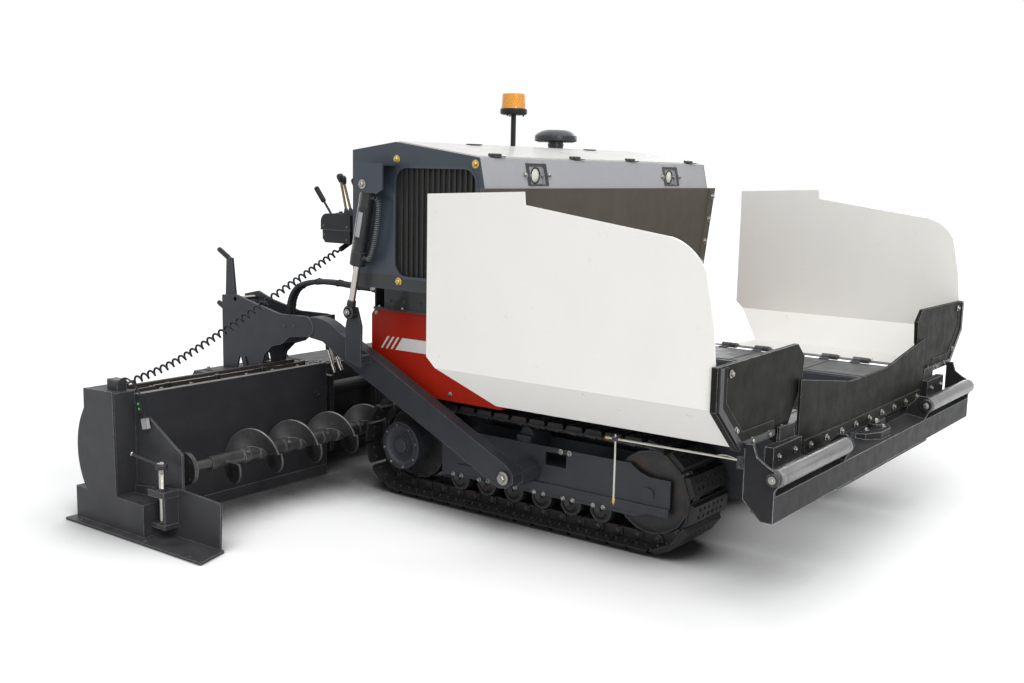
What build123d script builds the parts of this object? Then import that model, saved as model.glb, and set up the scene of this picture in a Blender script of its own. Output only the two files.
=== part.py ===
from build123d import *
import os
from math import cos, hypot, pi, radians, sin, tan

# Asphalt paver on steel tracks, millimetres. X is travel, Y is left, Z is up, ground at Z 0.
# The right-hand pieces are drawn at negative Y; the left-hand ones are their mirror images.

# Driving dimensions: tracks
TRACK_OUTER_Y = 893
TRACK_WIDTH = 356
TRACK_RADIUS = 268
SPROCKET_X = -270
IDLER_X = 1190
CHAIN_THICKNESS = 40
SHOE_THICKNESS = 30
SHOE_LENGTH = 96
SHOES_PER_RUN = 12
SHOES_PER_END = 6
SHOE_SINK_AT_ENDS = 6
SEAT = 0.3
HUB_RADIUS = 125
ROLLER_RADIUS = 60
ROLLER_COUNT = 6
CARRIER_RADIUS = 40

# Driving dimensions: chassis and hopper
FRAME_HALF_WIDTH = 521
FRAME_REAR_X = -430
FRAME_PLATE = 16
FRAME_BOTTOM_Z = 200
FLOOR_Z = 690
FLOOR_PLATE = 10
FLOOR_HALF_WIDTH = 948
HOPPER_FRONT_X = 1835
REAR_WALL_X = 434
REAR_WALL_PLATE = 12
REAR_WALL_TOP_Z = 1630
REAR_WALL_TOP_HALF = 1160
REAR_WALL_BOTTOM_HALF = 950
TUNNEL_FLOOR_Z = 590
TUNNEL_TOP_Z = 960
TUNNEL_HALF_GAP = 40
SIDE_BOX_OUTER_Y = 930
SIDE_BOX_BOTTOM_Z = 565
DECK_Z = 990
DECK_PLATE = 12

# Driving dimensions: hopper wings and gates
WING_HINGE_Y = 965
WING_HINGE_Z = 705
WING_PLATE = 12
WING_REAR_X = 460
WING_KINK_Y = 1526
WING_KINK_Z = 860
WING_FOOT_Y = 1338
WING_FOOT_Z = 688
WING_TOP_Z = 1610
HINGE_RADIUS = 16
HINGE_PIN_RADIUS = 9
HINGE_CLEARANCE = 1
HINGE_STATIONS = (695, 907, 1319, 1500)
GATE_PLATE = 20
APRON_BOTTOM_Z = 560
HITCH_FRONT_X = 1898

# Driving dimensions: hood
HOOD_HALF_WIDTH = 1100
HOOD_REAR_X = -410
HOOD_FRONT_X = 428
HOOD_BOTTOM_Z = 1120
HOOD_FRONT_TOP = (398, 1770)
HOOD_BREAK_Z = 1630
HOOD_RIDGE = (-120, 1840)
HOOD_REAR_TOP_Z = 1800
HOOD_SHEET = 6
GRILLE_X0, GRILLE_X1 = -120, 380
GRILLE_Z0, GRILLE_Z1 = 1190, 1715
GRILLE_CORNER = 70
GRILLE_BARS = 14
CONSOLE_FRONT_X = -610
DECK_HALF_WIDTH = 960
AUGER_PIN_RADIUS = 20
LID_SHEET = 5

# Driving dimensions: bumper with push rollers
BUMPER_HALF_WIDTH = 1295
BUMPER_FRONT_X = 2000
BUMPER_LIP_Z = 510
BUMPER_BOTTOM_Z = 405
PUSH_ROLLER_RADIUS = 37.5
PUSH_ROLLER_INNER_Y = 565
PUSH_ROLLER_X = 1995
PUSH_ROLLER_Z = 580
PUSH_ROLLER_END_GAP = 6
ROLLER_PIN_RADIUS = 10
END_PLATE = 12
END_PLATE_REAR_X = 1872

# Driving dimensions: screed, tow arms and lift
TOW_PIVOT_X = 534
TOW_PIVOT_Z = 271
TOW_PIN_RADIUS = 25
TOW_BOSS_RADIUS = 58
ARM_INNER_Y = 975
ARM_OUTER_Y = 1045
SCREED_HALF_WIDTH = 1220
SCREED_FRONT_X = -1165
SCREED_REAR_X = -1600
SCREED_TOP_Z = 560
WALKWAY_REAR_X = -2033
WALKWAY_Z = 360
EXTENSION_FRONT_X = -870
EXTENSION_REAR_X = -1150
EXTENSION_INNER_Y = 845
EXTENSION_OUTER_Y = 2065
EXTENSION_TOP_Z = 640
GUIDE_RADIUS = 40
GUIDE_X = -1050
GUIDE_HEIGHTS = (190, 440)
GATE_SHEET = 12
POST_OUTER_Y = 2200
SKI_OUTER_Y = 2250
LIFT_Y = 1150
LIFT_TOP = (-245, 1634)
LIFT_EYE = (-380, 990)
BARREL_RADIUS = 35
ROD_RADIUS = 17

# Driving dimensions: augers
AUGER_X = -690
AUGER_Z = 280
AUGER_RADIUS = 128
AUGER_TUBE_RADIUS = 34
AUGER_STUB_RADIUS = 24
AUGER_INNER_Y = 75
AUGER_TUBE_OUTER_Y = 1800
AUGER_END_Y = 1945
AUGER_PITCH = 270
FLIGHT_SHEET = 12
FLANGE_PITCH_RADIUS = 60
FLANGE_HOLES = 4
FLANGE_HOLE_RADIUS = 7

RUNNING = 0.5
TUBE_SIDES = 8

parts = {}


def block(x0, x1, y0, y1, z0, z1):
    size = (abs(x1 - x0), abs(y1 - y0), abs(z1 - z0))
    return Pos((x0 + x1) / 2, (y0 + y1) / 2, (z0 + z1) / 2) * Box(*size)


def side_sheet(points, y0, y1):
    low, high = min(y0, y1), max(y0, y1)
    plane = Plane(origin=(0, high, 0), x_dir=(1, 0, 0), z_dir=(0, -1, 0))
    return extrude(plane * make_face(Polyline(*points, close=True)), high - low)


def cross_sheet(points, x0, x1):
    low, high = min(x0, x1), max(x0, x1)
    plane = Plane(origin=(low, 0, 0), x_dir=(0, 1, 0), z_dir=(1, 0, 0))
    return extrude(plane * make_face(Polyline(*points, close=True)), high - low)


def flat_sheet(points, z0, z1):
    plane = Plane.XY.offset(min(z0, z1))
    return extrude(plane * make_face(Polyline(*points, close=True)), abs(z1 - z0))


def rod(start, end, radius):
    first, last = Vector(*start), Vector(*end)
    run = last - first
    plane = Plane(origin=first, z_dir=run)
    return extrude(plane * Circle(radius), run.length)


def cross_rod(x, z, y0, y1, radius):
    return rod((x, min(y0, y1), z), (x, max(y0, y1), z), radius)


def bar(start, end, radius, sides=8):
    first, last = Vector(*start), Vector(*end)
    run = last - first
    plane = Plane(origin=first, z_dir=run)
    return extrude(plane * RegularPolygon(radius, sides), run.length)


def cross_bar(x, z, y0, y1, radius, sides=8):
    return bar((x, min(y0, y1), z), (x, max(y0, y1), z), radius, sides)


def faceted(rings, twisted=False):
    """A closed solid of flat faces through rings of points, each ring with the same count."""
    faces = [Face(Wire.make_polygon(rings[0])), Face(Wire.make_polygon(rings[-1]))]
    for lower, upper in zip(rings, rings[1:]):
        for index in range(len(lower)):
            a, b = lower[index - 1], lower[index]
            c, d = upper[index], upper[index - 1]
            corners = [(a, b, c, d)]
            if twisted:
                corners = [(a, b, d), (b, c, d)] if 2 * index > len(lower) else [(a, b, c), (a, c, d)]
            faces += [Face(Wire.make_polygon(points)) for points in corners]
    return Solid(Shell(faces))


def turned(place, stations, sides):
    """A turned shape with flat sides; place gives a point from height, radius and angle."""
    angles = [2 * pi * index / sides for index in range(sides)]
    return faceted([[place(height, radius * cos(turn), radius * sin(turn)) for turn in angles]
                    for height, radius in stations])


def turned_up(x, y, stations, sides=20):
    return turned(lambda z, across, along: (x + across, y + along, z), stations, sides)


def turned_across(x, z, stations, sides=20):
    return turned(lambda y, across, rise: (x + across, y, z + rise), stations, sides)


def turned_ahead(y, z, stations, sides=20):
    return turned(lambda x, across, rise: (x, y + across, z + rise), stations, sides)


def side_face(y, *edges):
    plane = Plane(origin=(0, y, 0), x_dir=(1, 0, 0), z_dir=(0, -1, 0))
    return plane * make_face([edge for group in edges for edge in group.edges()])


def tube(name, points, radius):
    """A tube of straight runs joined by the largest tangent arcs that the runs allow."""
    places = [Vector(*point) for point in points]
    runs = [(after - before) for before, after in zip(places, places[1:])]
    bends = []
    for before, after in zip(runs, runs[1:]):
        half_turn = radians(before.get_angle(after)) / 2
        bends.append(0.45 * min(before.length, after.length) / tan(half_turn))
    path = FilletPolyline(*points, radius=bends)
    section = Plane(origin=places[0], z_dir=runs[0]) * RegularPolygon(radius, TUBE_SIDES)
    solid = sweep(section, path=path)
    print(name, "bend radii", [round(bend) for bend in bends],
          "volume ratio", round(solid.volume / (section.area * path.length), 4))
    return solid


def fuse(first, *others):
    return first.fuse(*others).clean() if others else first


def keep(name, *solids):
    shape = solids[0] if len(solids) == 1 else Compound(children=list(solids))
    parts[name] = shape


def keep_both(name, *right_solids):
    keep("right_" + name, *right_solids)
    keep("left_" + name, *[mirror(solid, Plane.XZ) for solid in right_solids])


# Tracks: one closed chain band with its shoes standing on it
BAND_OUTER = TRACK_RADIUS - SHOE_THICKNESS
BAND_INNER = BAND_OUTER - CHAIN_THICKNESS


def shoe_places():
    run = (IDLER_X - SPROCKET_X) / SHOES_PER_RUN
    for index in range(SHOES_PER_RUN):
        x = SPROCKET_X + (index + 0.5) * run
        yield x, SHOE_THICKNESS / 2, 0
        yield x, 2 * TRACK_RADIUS - SHOE_THICKNESS / 2, 0
    for centre_x, start in ((IDLER_X, -90), (SPROCKET_X, 90)):
        for index in range(SHOES_PER_END):
            angle = start + (index + 0.5) * 180 / SHOES_PER_END
            reach = TRACK_RADIUS - SHOE_SINK_AT_ENDS - SHOE_THICKNESS / 2
            x = centre_x + reach * cos(radians(angle))
            z = TRACK_RADIUS + reach * sin(radians(angle))
            yield x, z, angle + 90


def stadium(radius):
    slot = SlotCenterToCenter(IDLER_X - SPROCKET_X, 2 * radius)
    return Pos((IDLER_X + SPROCKET_X) / 2, TRACK_RADIUS) * slot


def make_track():
    outline = stadium(BAND_OUTER)
    for x, z, angle in shoe_places():
        outline = outline + Pos(x, z) * Rot(0, 0, angle) * Rectangle(SHOE_LENGTH, SHOE_THICKNESS + 2)
    outline = outline - stadium(BAND_INNER)
    below = Pos((IDLER_X + SPROCKET_X) / 2, -50) * Rectangle(4000, 100)
    above = Pos((IDLER_X + SPROCKET_X) / 2, 2 * TRACK_RADIUS + 50) * Rectangle(4000, 100)
    outline = outline - below - above
    plane = Plane(origin=(0, -TRACK_OUTER_Y + TRACK_WIDTH, 0), x_dir=(1, 0, 0), z_dir=(0, -1, 0))
    keep_both("track", extrude(plane * outline, TRACK_WIDTH))


# Track frame: side plates, beam, rollers, idler and the drive hub
BEAM_OUTER_Y = 818
BEAM_INNER_Y = 612
BEAM_SIDE = 12
BEAM_TOP_Z = 395
BEAM_LEDGE_Z = 215
BEAM_REAR_X = -40
BEAM_FRONT_X = 1300
LEDGE_DEPTH = 12
ROLLER_FIRST_X = 60
ROLLER_STEP = 172


def make_track_frame():
    wheel_radius = BAND_INNER - SEAT
    top = Polyline((BEAM_REAR_X, 150), (BEAM_REAR_X, 330), (60, BEAM_TOP_Z), (1090, BEAM_TOP_Z))
    scoop = ThreePointArc((1090, BEAM_TOP_Z), (1150, 358), (1240, 345))
    rest = Polyline((1240, 345), (BEAM_FRONT_X, 345), (BEAM_FRONT_X, BEAM_LEDGE_Z), (1120, 150),
                    (BEAM_REAR_X, 150))
    outer = extrude(side_face(-BEAM_OUTER_Y + BEAM_SIDE, top, scoop, rest), BEAM_SIDE)
    inner = extrude(side_face(-BEAM_INNER_Y, top, scoop, rest), BEAM_SIDE)
    outer = outer - block(610, 735, -BEAM_OUTER_Y - 1, -BEAM_OUTER_Y + BEAM_SIDE + 1, 305, 372)
    beam = block(BEAM_REAR_X + 30, 960, -BEAM_OUTER_Y + BEAM_SIDE, -BEAM_INNER_Y - BEAM_SIDE,
                 BEAM_LEDGE_Z, 300)
    ledge = block(60, BEAM_FRONT_X, -BEAM_OUTER_Y - LEDGE_DEPTH, -BEAM_OUTER_Y, 177, BEAM_LEDGE_Z)
    solids = [inner, beam, ledge]
    roller_z = TRACK_RADIUS - BAND_INNER + SEAT + ROLLER_RADIUS
    roller_y = (-BEAM_OUTER_Y + BEAM_SIDE + 14, -BEAM_INNER_Y - BEAM_SIDE - 14)
    for index in range(ROLLER_COUNT):
        x = ROLLER_FIRST_X + index * ROLLER_STEP
        solids.append(cross_bar(x, roller_z, *roller_y, ROLLER_RADIUS, 10))
        solids.append(cross_bar(x, roller_z + 12, -BEAM_OUTER_Y - 8, roller_y[0] + 20, 16, 6))
    idler_y = (-BEAM_OUTER_Y + BEAM_SIDE + 18, -BEAM_INNER_Y - BEAM_SIDE - 18)
    solids.append(cross_bar(IDLER_X, TRACK_RADIUS, *idler_y, wheel_radius, 16))
    solids.append(cross_bar(IDLER_X, TRACK_RADIUS, -BEAM_OUTER_Y - 10, idler_y[0] + 20, 30, 8))
    carrier_z = TRACK_RADIUS + BAND_INNER - SEAT - CARRIER_RADIUS
    solids.append(cross_bar(470, carrier_z, -BEAM_OUTER_Y + 40, -BEAM_INNER_Y - 40, CARRIER_RADIUS, 8))
    solids.append(block(430, 510, -BEAM_OUTER_Y + BEAM_SIDE, -BEAM_INNER_Y - BEAM_SIDE,
                        BEAM_LEDGE_Z, carrier_z))
    frame = fuse(outer, *solids)
    stay = block(250, 330, -BEAM_INNER_Y, -FRAME_HALF_WIDTH, 230, 380)
    front_stay = block(900, 980, -BEAM_INNER_Y, -FRAME_HALF_WIDTH, 230, 380)
    pivot = cross_rod(TOW_PIVOT_X, TOW_PIVOT_Z, -ARM_OUTER_Y - 12, -BEAM_OUTER_Y, TOW_PIN_RADIUS)
    boss = cross_bar(TOW_PIVOT_X, TOW_PIVOT_Z, -ARM_INNER_Y + 8, -BEAM_OUTER_Y, TOW_BOSS_RADIUS, 12)
    drive = cross_bar(SPROCKET_X, TRACK_RADIUS, -850, -FRAME_HALF_WIDTH, 105, 12)
    sprocket = cross_bar(SPROCKET_X, TRACK_RADIUS, -750, -680, wheel_radius, 16)
    face_y = -TRACK_OUTER_Y
    cap = turned_across(SPROCKET_X, TRACK_RADIUS, [(face_y, HUB_RADIUS - 6), (face_y + 6, HUB_RADIUS),
                                                   (-850, HUB_RADIUS)], 18)
    dish = turned_across(SPROCKET_X, TRACK_RADIUS, [(face_y - 1, 96), (face_y + 22, 72)], 18)
    hub_nut = cross_bar(SPROCKET_X, TRACK_RADIUS, face_y + 3, -868, 36, 6)
    keep_both("track_frame", fuse(frame, stay, front_stay, pivot, boss),
              fuse(drive, sprocket, cap - dish, hub_nut))


# Main frame: plates bolted to a channel between the tracks, which carries the conveyors
RIB_STATIONS = (560, 1180, 1760)
RIB_SHEET = 14


def make_main_frame():
    side = [(FRAME_REAR_X, 300), (FRAME_REAR_X, FLOOR_Z - FLOOR_PLATE),
            (HOPPER_FRONT_X, FLOOR_Z - FLOOR_PLATE), (HOPPER_FRONT_X, 430), (1640, 250),
            (1200, FRAME_BOTTOM_Z), (-300, FRAME_BOTTOM_Z)]
    right = side_sheet(side, -FRAME_HALF_WIDTH, -FRAME_HALF_WIDTH + FRAME_PLATE)
    tip = -FLOOR_HALF_WIDTH + 20
    rib = [(-FRAME_HALF_WIDTH, 560), (-FRAME_HALF_WIDTH, FLOOR_Z - FLOOR_PLATE),
           (tip, FLOOR_Z - FLOOR_PLATE), (tip, 650), (-700, 560)]
    right = fuse(right, *[cross_sheet(rib, x, x + RIB_SHEET) for x in RIB_STATIONS])
    left = mirror(right, Plane.XZ)
    inside = FRAME_HALF_WIDTH - FRAME_PLATE - SEAT
    under_tunnel = TUNNEL_FLOOR_Z - 12
    pan = block(-300, 1200, -inside, inside, FRAME_BOTTOM_Z, FRAME_BOTTOM_Z + FRAME_PLATE)
    tunnel = block(FRAME_REAR_X, HOPPER_FRONT_X - 40, -inside, inside, under_tunnel, TUNNEL_FLOOR_Z)
    middle = block(FRAME_REAR_X, HOPPER_FRONT_X - 40, -TUNNEL_HALF_GAP, TUNNEL_HALF_GAP,
                   TUNNEL_FLOOR_Z + SEAT, FLOOR_Z - FLOOR_PLATE)
    nose = block(HOPPER_FRONT_X - 12, HOPPER_FRONT_X, -inside, inside, 430, FLOOR_Z - FLOOR_PLATE)
    hitch = block(HOPPER_FRONT_X, HITCH_FRONT_X, -230, 230, 470, APRON_BOTTOM_Z - SEAT)
    case = block(FRAME_REAR_X - 320, FRAME_REAR_X + 40, -62, 62, 215, under_tunnel - SEAT)
    case = case - block(AUGER_X - 110, AUGER_X + 50, -70, 70, 430, 600)
    pin = cross_rod(AUGER_X, AUGER_Z, -AUGER_INNER_Y - 35, AUGER_INNER_Y + 35, AUGER_PIN_RADIUS)
    keep("main_frame", right, left, pan, tunnel, middle, fuse(nose, hitch), fuse(case, pin))


# Side boxes and the deck that carries engine and hood
BULKHEAD_X = -400
NIPPLE_LENGTH = 12
HOSE_RADIUS = 14
HOSE_SPACING = 32
HOSE_START_Z = 1085
HOSE_START_Y = (-900 - HOSE_SPACING / 2, -900 + HOSE_SPACING / 2)
HOSE_END = (-1045, -942, 800)


def make_side_boxes():
    outline = [(-440, 640), (-440, DECK_Z - 30), (-415, DECK_Z), (426, DECK_Z),
               (426, SIDE_BOX_BOTTOM_Z), (-350, SIDE_BOX_BOTTOM_Z)]
    box = side_sheet(outline, -SIDE_BOX_OUTER_Y, -FRAME_HALF_WIDTH - SEAT)
    keep_both("side_box", box)


def make_deck():
    deck = block(-400, 426, -DECK_HALF_WIDTH, DECK_HALF_WIDTH, DECK_Z, DECK_Z + DECK_PLATE)
    top = DECK_Z + DECK_PLATE
    side = FRAME_HALF_WIDTH
    rear = block(FRAME_REAR_X, FRAME_REAR_X + 12, -side, side, FLOOR_Z + 270, DECK_Z)
    walls = [block(FRAME_REAR_X, 426, sign * side, sign * (side - 12), FLOOR_Z - FLOOR_PLATE,
                   DECK_Z) for sign in (-1, 1)]
    feet = []
    for sign in (-1, 1):
        outer = DECK_HALF_WIDTH - 8
        foot = block(-330, 420, sign * (outer - 150), sign * outer, top, HOOD_BOTTOM_Z)
        foot = foot - block(-318, 408, sign * (outer - 138), sign * (outer - 12), top - 1, HOOD_BOTTOM_Z + 1)
        feet.append(foot)
    sheet = block(BULKHEAD_X, BULKHEAD_X + 8, -950, -840, top, HOOD_BOTTOM_Z - 10)
    nipples = [bar((BULKHEAD_X - NIPPLE_LENGTH, y, HOSE_START_Z), (BULKHEAD_X, y, HOSE_START_Z),
                   HOSE_RADIUS + 3, 12) for y in HOSE_START_Y]
    keep("deck", fuse(deck, rear, *walls, *feet, sheet, *nipples))


# Hopper: floor strips with hinge knuckles, rear wall, conveyors
def make_hopper_floor():
    strips = []
    for sign in (-1, 1):
        inner = sign * (FRAME_HALF_WIDTH - FRAME_PLATE)
        strips.append(block(REAR_WALL_X + REAR_WALL_PLATE, HOPPER_FRONT_X, inner,
                            sign * FLOOR_HALF_WIDTH, FLOOR_Z - FLOOR_PLATE, FLOOR_Z))
    middle = block(REAR_WALL_X + REAR_WALL_PLATE, HOPPER_FRONT_X, -TUNNEL_HALF_GAP,
                   TUNNEL_HALF_GAP, FLOOR_Z - FLOOR_PLATE, FLOOR_Z)
    shelf = block(HOPPER_FRONT_X - 70, HOPPER_FRONT_X, -FRAME_HALF_WIDTH, FRAME_HALF_WIDTH,
                  FLOOR_Z - FLOOR_PLATE, FLOOR_Z)
    solids = [strips[1], middle, shelf]
    for sign in (-1, 1):
        for x in HINGE_STATIONS:
            knuckle = bar((x - 45, sign * WING_HINGE_Y, WING_HINGE_Z),
                          (x - 2, sign * WING_HINGE_Y, WING_HINGE_Z), HINGE_RADIUS, 10)
            pin = bar((x - 45, sign * WING_HINGE_Y, WING_HINGE_Z),
                      (x + 45, sign * WING_HINGE_Y, WING_HINGE_Z), HINGE_PIN_RADIUS, 10)
            web = block(x - 45, x - 2, sign * (FLOOR_HALF_WIDTH - 40), sign * WING_HINGE_Y,
                        FLOOR_Z, FLOOR_Z + 10)
            solids += [knuckle, pin, web]
    keep("hopper_floor", fuse(strips[0], *solids))


def make_rear_wall():
    outline = [(-REAR_WALL_BOTTOM_HALF, FLOOR_Z), (-REAR_WALL_TOP_HALF, REAR_WALL_TOP_Z),
               (REAR_WALL_TOP_HALF, REAR_WALL_TOP_Z), (REAR_WALL_BOTTOM_HALF, FLOOR_Z)]
    wall = cross_sheet(outline, REAR_WALL_X, REAR_WALL_X + REAR_WALL_PLATE)
    for sign in (-1, 1):
        wall = wall - block(REAR_WALL_X - 1, REAR_WALL_X + REAR_WALL_PLATE + 1,
                            sign * TUNNEL_HALF_GAP, sign * (FRAME_HALF_WIDTH - FRAME_PLATE - 20),
                            FLOOR_Z - 1, TUNNEL_TOP_Z)
    bars = []
    for sign in (-1, 1):
        bar = [(sign * (REAR_WALL_TOP_HALF - 60), REAR_WALL_TOP_Z),
               (sign * REAR_WALL_TOP_HALF, REAR_WALL_TOP_Z),
               (sign * (REAR_WALL_BOTTOM_HALF + 60), 1000),
               (sign * (REAR_WALL_BOTTOM_HALF + 0), 1000)]
        bars.append(cross_sheet(bar, REAR_WALL_X + REAR_WALL_PLATE, REAR_WALL_X + REAR_WALL_PLATE + 8))
    keep("hopper_rear_wall", fuse(wall, *bars))


def make_conveyor():
    inside = FRAME_HALF_WIDTH - FRAME_PLATE
    solids = []
    for sign in (-1, 1):
        y0, y1 = sign * (TUNNEL_HALF_GAP + 8), sign * (inside - 8)
        belt = block(FRAME_REAR_X - 20, HOPPER_FRONT_X - 90, y0, y1, TUNNEL_FLOOR_Z + SEAT,
                     TUNNEL_FLOOR_Z + 14)
        slats = []
        for index in range(14):
            x = FRAME_REAR_X + 20 + index * 150
            slats.append(block(x, x + 22, y0, y1, TUNNEL_FLOOR_Z + 14, TUNNEL_FLOOR_Z + 32))
        solids.append(fuse(belt, *slats))
    keep("conveyor", *solids)


# Hopper wings: one bent plate each, trimmed to its side outline
def wing_shell():
    t = WING_PLATE
    slope = hypot(WING_KINK_Y - WING_FOOT_Y, WING_KINK_Z - WING_FOOT_Z)
    normal = ((WING_KINK_Z - WING_FOOT_Z) / slope * t, (WING_KINK_Y - WING_FOOT_Y) / slope * t)
    section = [(-WING_HINGE_Y - 26, WING_FOOT_Z + 4), (-WING_FOOT_Y, WING_FOOT_Z),
               (-WING_KINK_Y - 4, WING_KINK_Z), (-WING_KINK_Y - 4, 1700),
               (-WING_KINK_Y - 4 + t, 1700), (-WING_KINK_Y - 4 + t, WING_KINK_Z + 5),
               (-WING_FOOT_Y + 5, WING_FOOT_Z + t), (-WING_HINGE_Y - 26, WING_FOOT_Z + 4 + t)]
    return cross_sheet(section, WING_REAR_X, HOPPER_FRONT_X + 10)


def wing_outline():
    front = HOPPER_FRONT_X + 10
    lower = Polyline((800, 600), (WING_REAR_X, 905), (WING_REAR_X, WING_TOP_Z), (968, WING_TOP_Z + 22),
                     (973, 1579), (1303, 1533), (1645, 1486))
    corner = ThreePointArc((1645, 1486), (1748, 1428), (1790, 1370))
    nose = Polyline((1790, 1370), (1832, 1170), (front, 1030), (front, 600), (800, 600))
    return make_face([*lower.edges(), *corner.edges(), *nose.edges()])


GATE_FLANGE = 6
GATE_SHEET_GAP = 0.3
GATE_TOP_Z = 1024


def gate_edge(out):
    """Top, kink, foot and inner end of the wing's outer face in |Y| and Z, moved outward."""
    face_y = WING_KINK_Y + 4
    run, rise = face_y - WING_FOOT_Y, WING_KINK_Z - WING_FOOT_Z
    slope = hypot(run, rise)
    foot_shift = out * (slope - run) / rise
    return [(face_y + out, GATE_TOP_Z), (face_y + out, WING_KINK_Z - out * (slope - rise) / run),
            (WING_FOOT_Y + foot_shift, WING_FOOT_Z - out), (WING_HINGE_Y + 60, WING_FOOT_Z - out)]


def make_wings():
    plane = Plane(origin=(0, -900, 0), x_dir=(1, 0, 0), z_dir=(0, -1, 0))
    trim = extrude(plane * wing_outline(), 700)
    wing = wing_shell() & trim
    knuckles = []
    for x in HINGE_STATIONS:
        knuckle = bar((x + 2, -WING_HINGE_Y, WING_HINGE_Z), (x + 45, -WING_HINGE_Y, WING_HINGE_Z),
                      HINGE_RADIUS, 10)
        web = block(x + 2, x + 45, -WING_HINGE_Y - 60, -WING_HINGE_Y, WING_FOOT_Z + 4 + WING_PLATE - 2,
                    WING_HINGE_Z + 8)
        bore = bar((x - 5, -WING_HINGE_Y, WING_HINGE_Z), (x + 50, -WING_HINGE_Y, WING_HINGE_Z),
                   HINGE_PIN_RADIUS + HINGE_CLEARANCE, 10)
        knuckles.append(fuse(knuckle, web) - bore)
    wing = fuse(wing, *knuckles)
    keep_both("wing", wing)
    gate = [(-y, z) for y, z in gate_edge(GATE_SHEET_GAP + 2)]
    gate += [(-900, WING_FOOT_Z - 6), (-760, 866), (-744, 975), (-817, 1033)]
    sheet = cross_sheet(gate, HOPPER_FRONT_X + 10, HOPPER_FRONT_X + 10 + GATE_PLATE)
    rear_x = HOPPER_FRONT_X + 10 - GATE_FLANGE
    flange = [(-y, z) for y, z in (*gate_edge(GATE_SHEET_GAP), *reversed(gate_edge(GATE_SHEET_GAP + 10)))]
    keep_both("wing_gate", fuse(sheet, cross_sheet(flange, rear_x, HOPPER_FRONT_X + 10 + GATE_PLATE)))


def make_apron():
    x0 = 1875
    low = APRON_BOTTOM_Z
    top = [(-815, low), (-815, 885), (-235, 800), (235, 800), (815, 885), (815, low)]
    sheet = cross_sheet(top, x0, x0 + 12)
    strip = block(x0 + 12, x0 + 20, -760, 760, 572, 620)
    keep("apron", fuse(sheet, strip))


# Bumper beam with its two push rollers
def make_bumper():
    half = BUMPER_HALF_WIDTH
    face = [(1900, BUMPER_BOTTOM_Z + 30), (1900, BUMPER_LIP_Z + 16), (1970, BUMPER_LIP_Z + 6),
            (BUMPER_FRONT_X, BUMPER_LIP_Z), (BUMPER_FRONT_X, BUMPER_BOTTOM_Z),
            (1950, BUMPER_BOTTOM_Z)]
    beam = side_sheet(face, -half + END_PLATE, half - END_PLATE)
    end = [(END_PLATE_REAR_X, 481), (END_PLATE_REAR_X, 700), (1906, 703), (1922, 655), (1962, 628), (2018, 600),
           (2018, 560), (BUMPER_FRONT_X, 530), (BUMPER_FRONT_X, BUMPER_BOTTOM_Z), (1950, BUMPER_BOTTOM_Z)]
    inner = [(1900, 500), (1900, 560), (1960, 625), (1998, 625), (2018, 600), (2018, 560),
             (BUMPER_FRONT_X - 4, 515), (BUMPER_FRONT_X - 4, 500)]
    solids = []
    for sign in (-1, 1):
        solids.append(side_sheet(end, sign * half, sign * (half - END_PLATE)))
        outer = sign * (PUSH_ROLLER_INNER_Y - PUSH_ROLLER_END_GAP)
        solids.append(side_sheet(inner, outer, outer - sign * END_PLATE))
        pin_ends = (sign * (half + 2), sign * (PUSH_ROLLER_INNER_Y - 20))
        solids.append(cross_bar(PUSH_ROLLER_X, PUSH_ROLLER_Z, *pin_ends, ROLLER_PIN_RADIUS, 10))
        solids.append(block(END_PLATE_REAR_X, 1910, sign * 835, sign * 1110, 500, 655))
        solids.append(block(END_PLATE_REAR_X, 1884, sign * 850, sign * 1000, 655, 715))
    pivot_plate = [(HITCH_FRONT_X, -170), (1940, -150), (1982, -60), (1982, 60), (1940, 150),
                   (HITCH_FRONT_X, 170)]
    centre = flat_sheet(pivot_plate, BUMPER_LIP_Z, 548)
    pivot = Pos(1930, 0, 540) * extrude(RegularPolygon(32, 12), 32)
    keel = block(1950, BUMPER_FRONT_X - 6, -600, 600, BUMPER_BOTTOM_Z - 14, BUMPER_BOTTOM_Z)
    keep("bumper", fuse(beam, *solids, centre, pivot, keel))
    roller = cross_rod(PUSH_ROLLER_X, PUSH_ROLLER_Z, -half + END_PLATE + PUSH_ROLLER_END_GAP,
                       -PUSH_ROLLER_INNER_Y, PUSH_ROLLER_RADIUS)
    roller = roller - cross_bar(PUSH_ROLLER_X, PUSH_ROLLER_Z, -half, 0, ROLLER_PIN_RADIUS + 1, 10)
    keep_both("push_roller", roller)


# Hood
def hood_outline(inset):
    return [(HOOD_REAR_X + inset, HOOD_BOTTOM_Z - (1 if inset else 0)),
            (HOOD_REAR_X + inset, HOOD_REAR_TOP_Z - inset),
            (HOOD_RIDGE[0], HOOD_RIDGE[1] - inset),
            (HOOD_FRONT_TOP[0] - inset, HOOD_FRONT_TOP[1] - inset),
            (HOOD_FRONT_X - inset, HOOD_BREAK_Z),
            (HOOD_FRONT_X - inset, HOOD_BOTTOM_Z - (1 if inset else 0))]


def grille_window(y0, y1, grow):
    width, height = GRILLE_X1 - GRILLE_X0 + 2 * grow, GRILLE_Z1 - GRILLE_Z0 + 2 * grow
    plane = Plane(origin=((GRILLE_X0 + GRILLE_X1) / 2, max(y0, y1), (GRILLE_Z0 + GRILLE_Z1) / 2),
                  x_dir=(1, 0, 0), z_dir=(0, -1, 0))
    return extrude(plane * RectangleRounded(width, height, GRILLE_CORNER), abs(y1 - y0))


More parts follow.
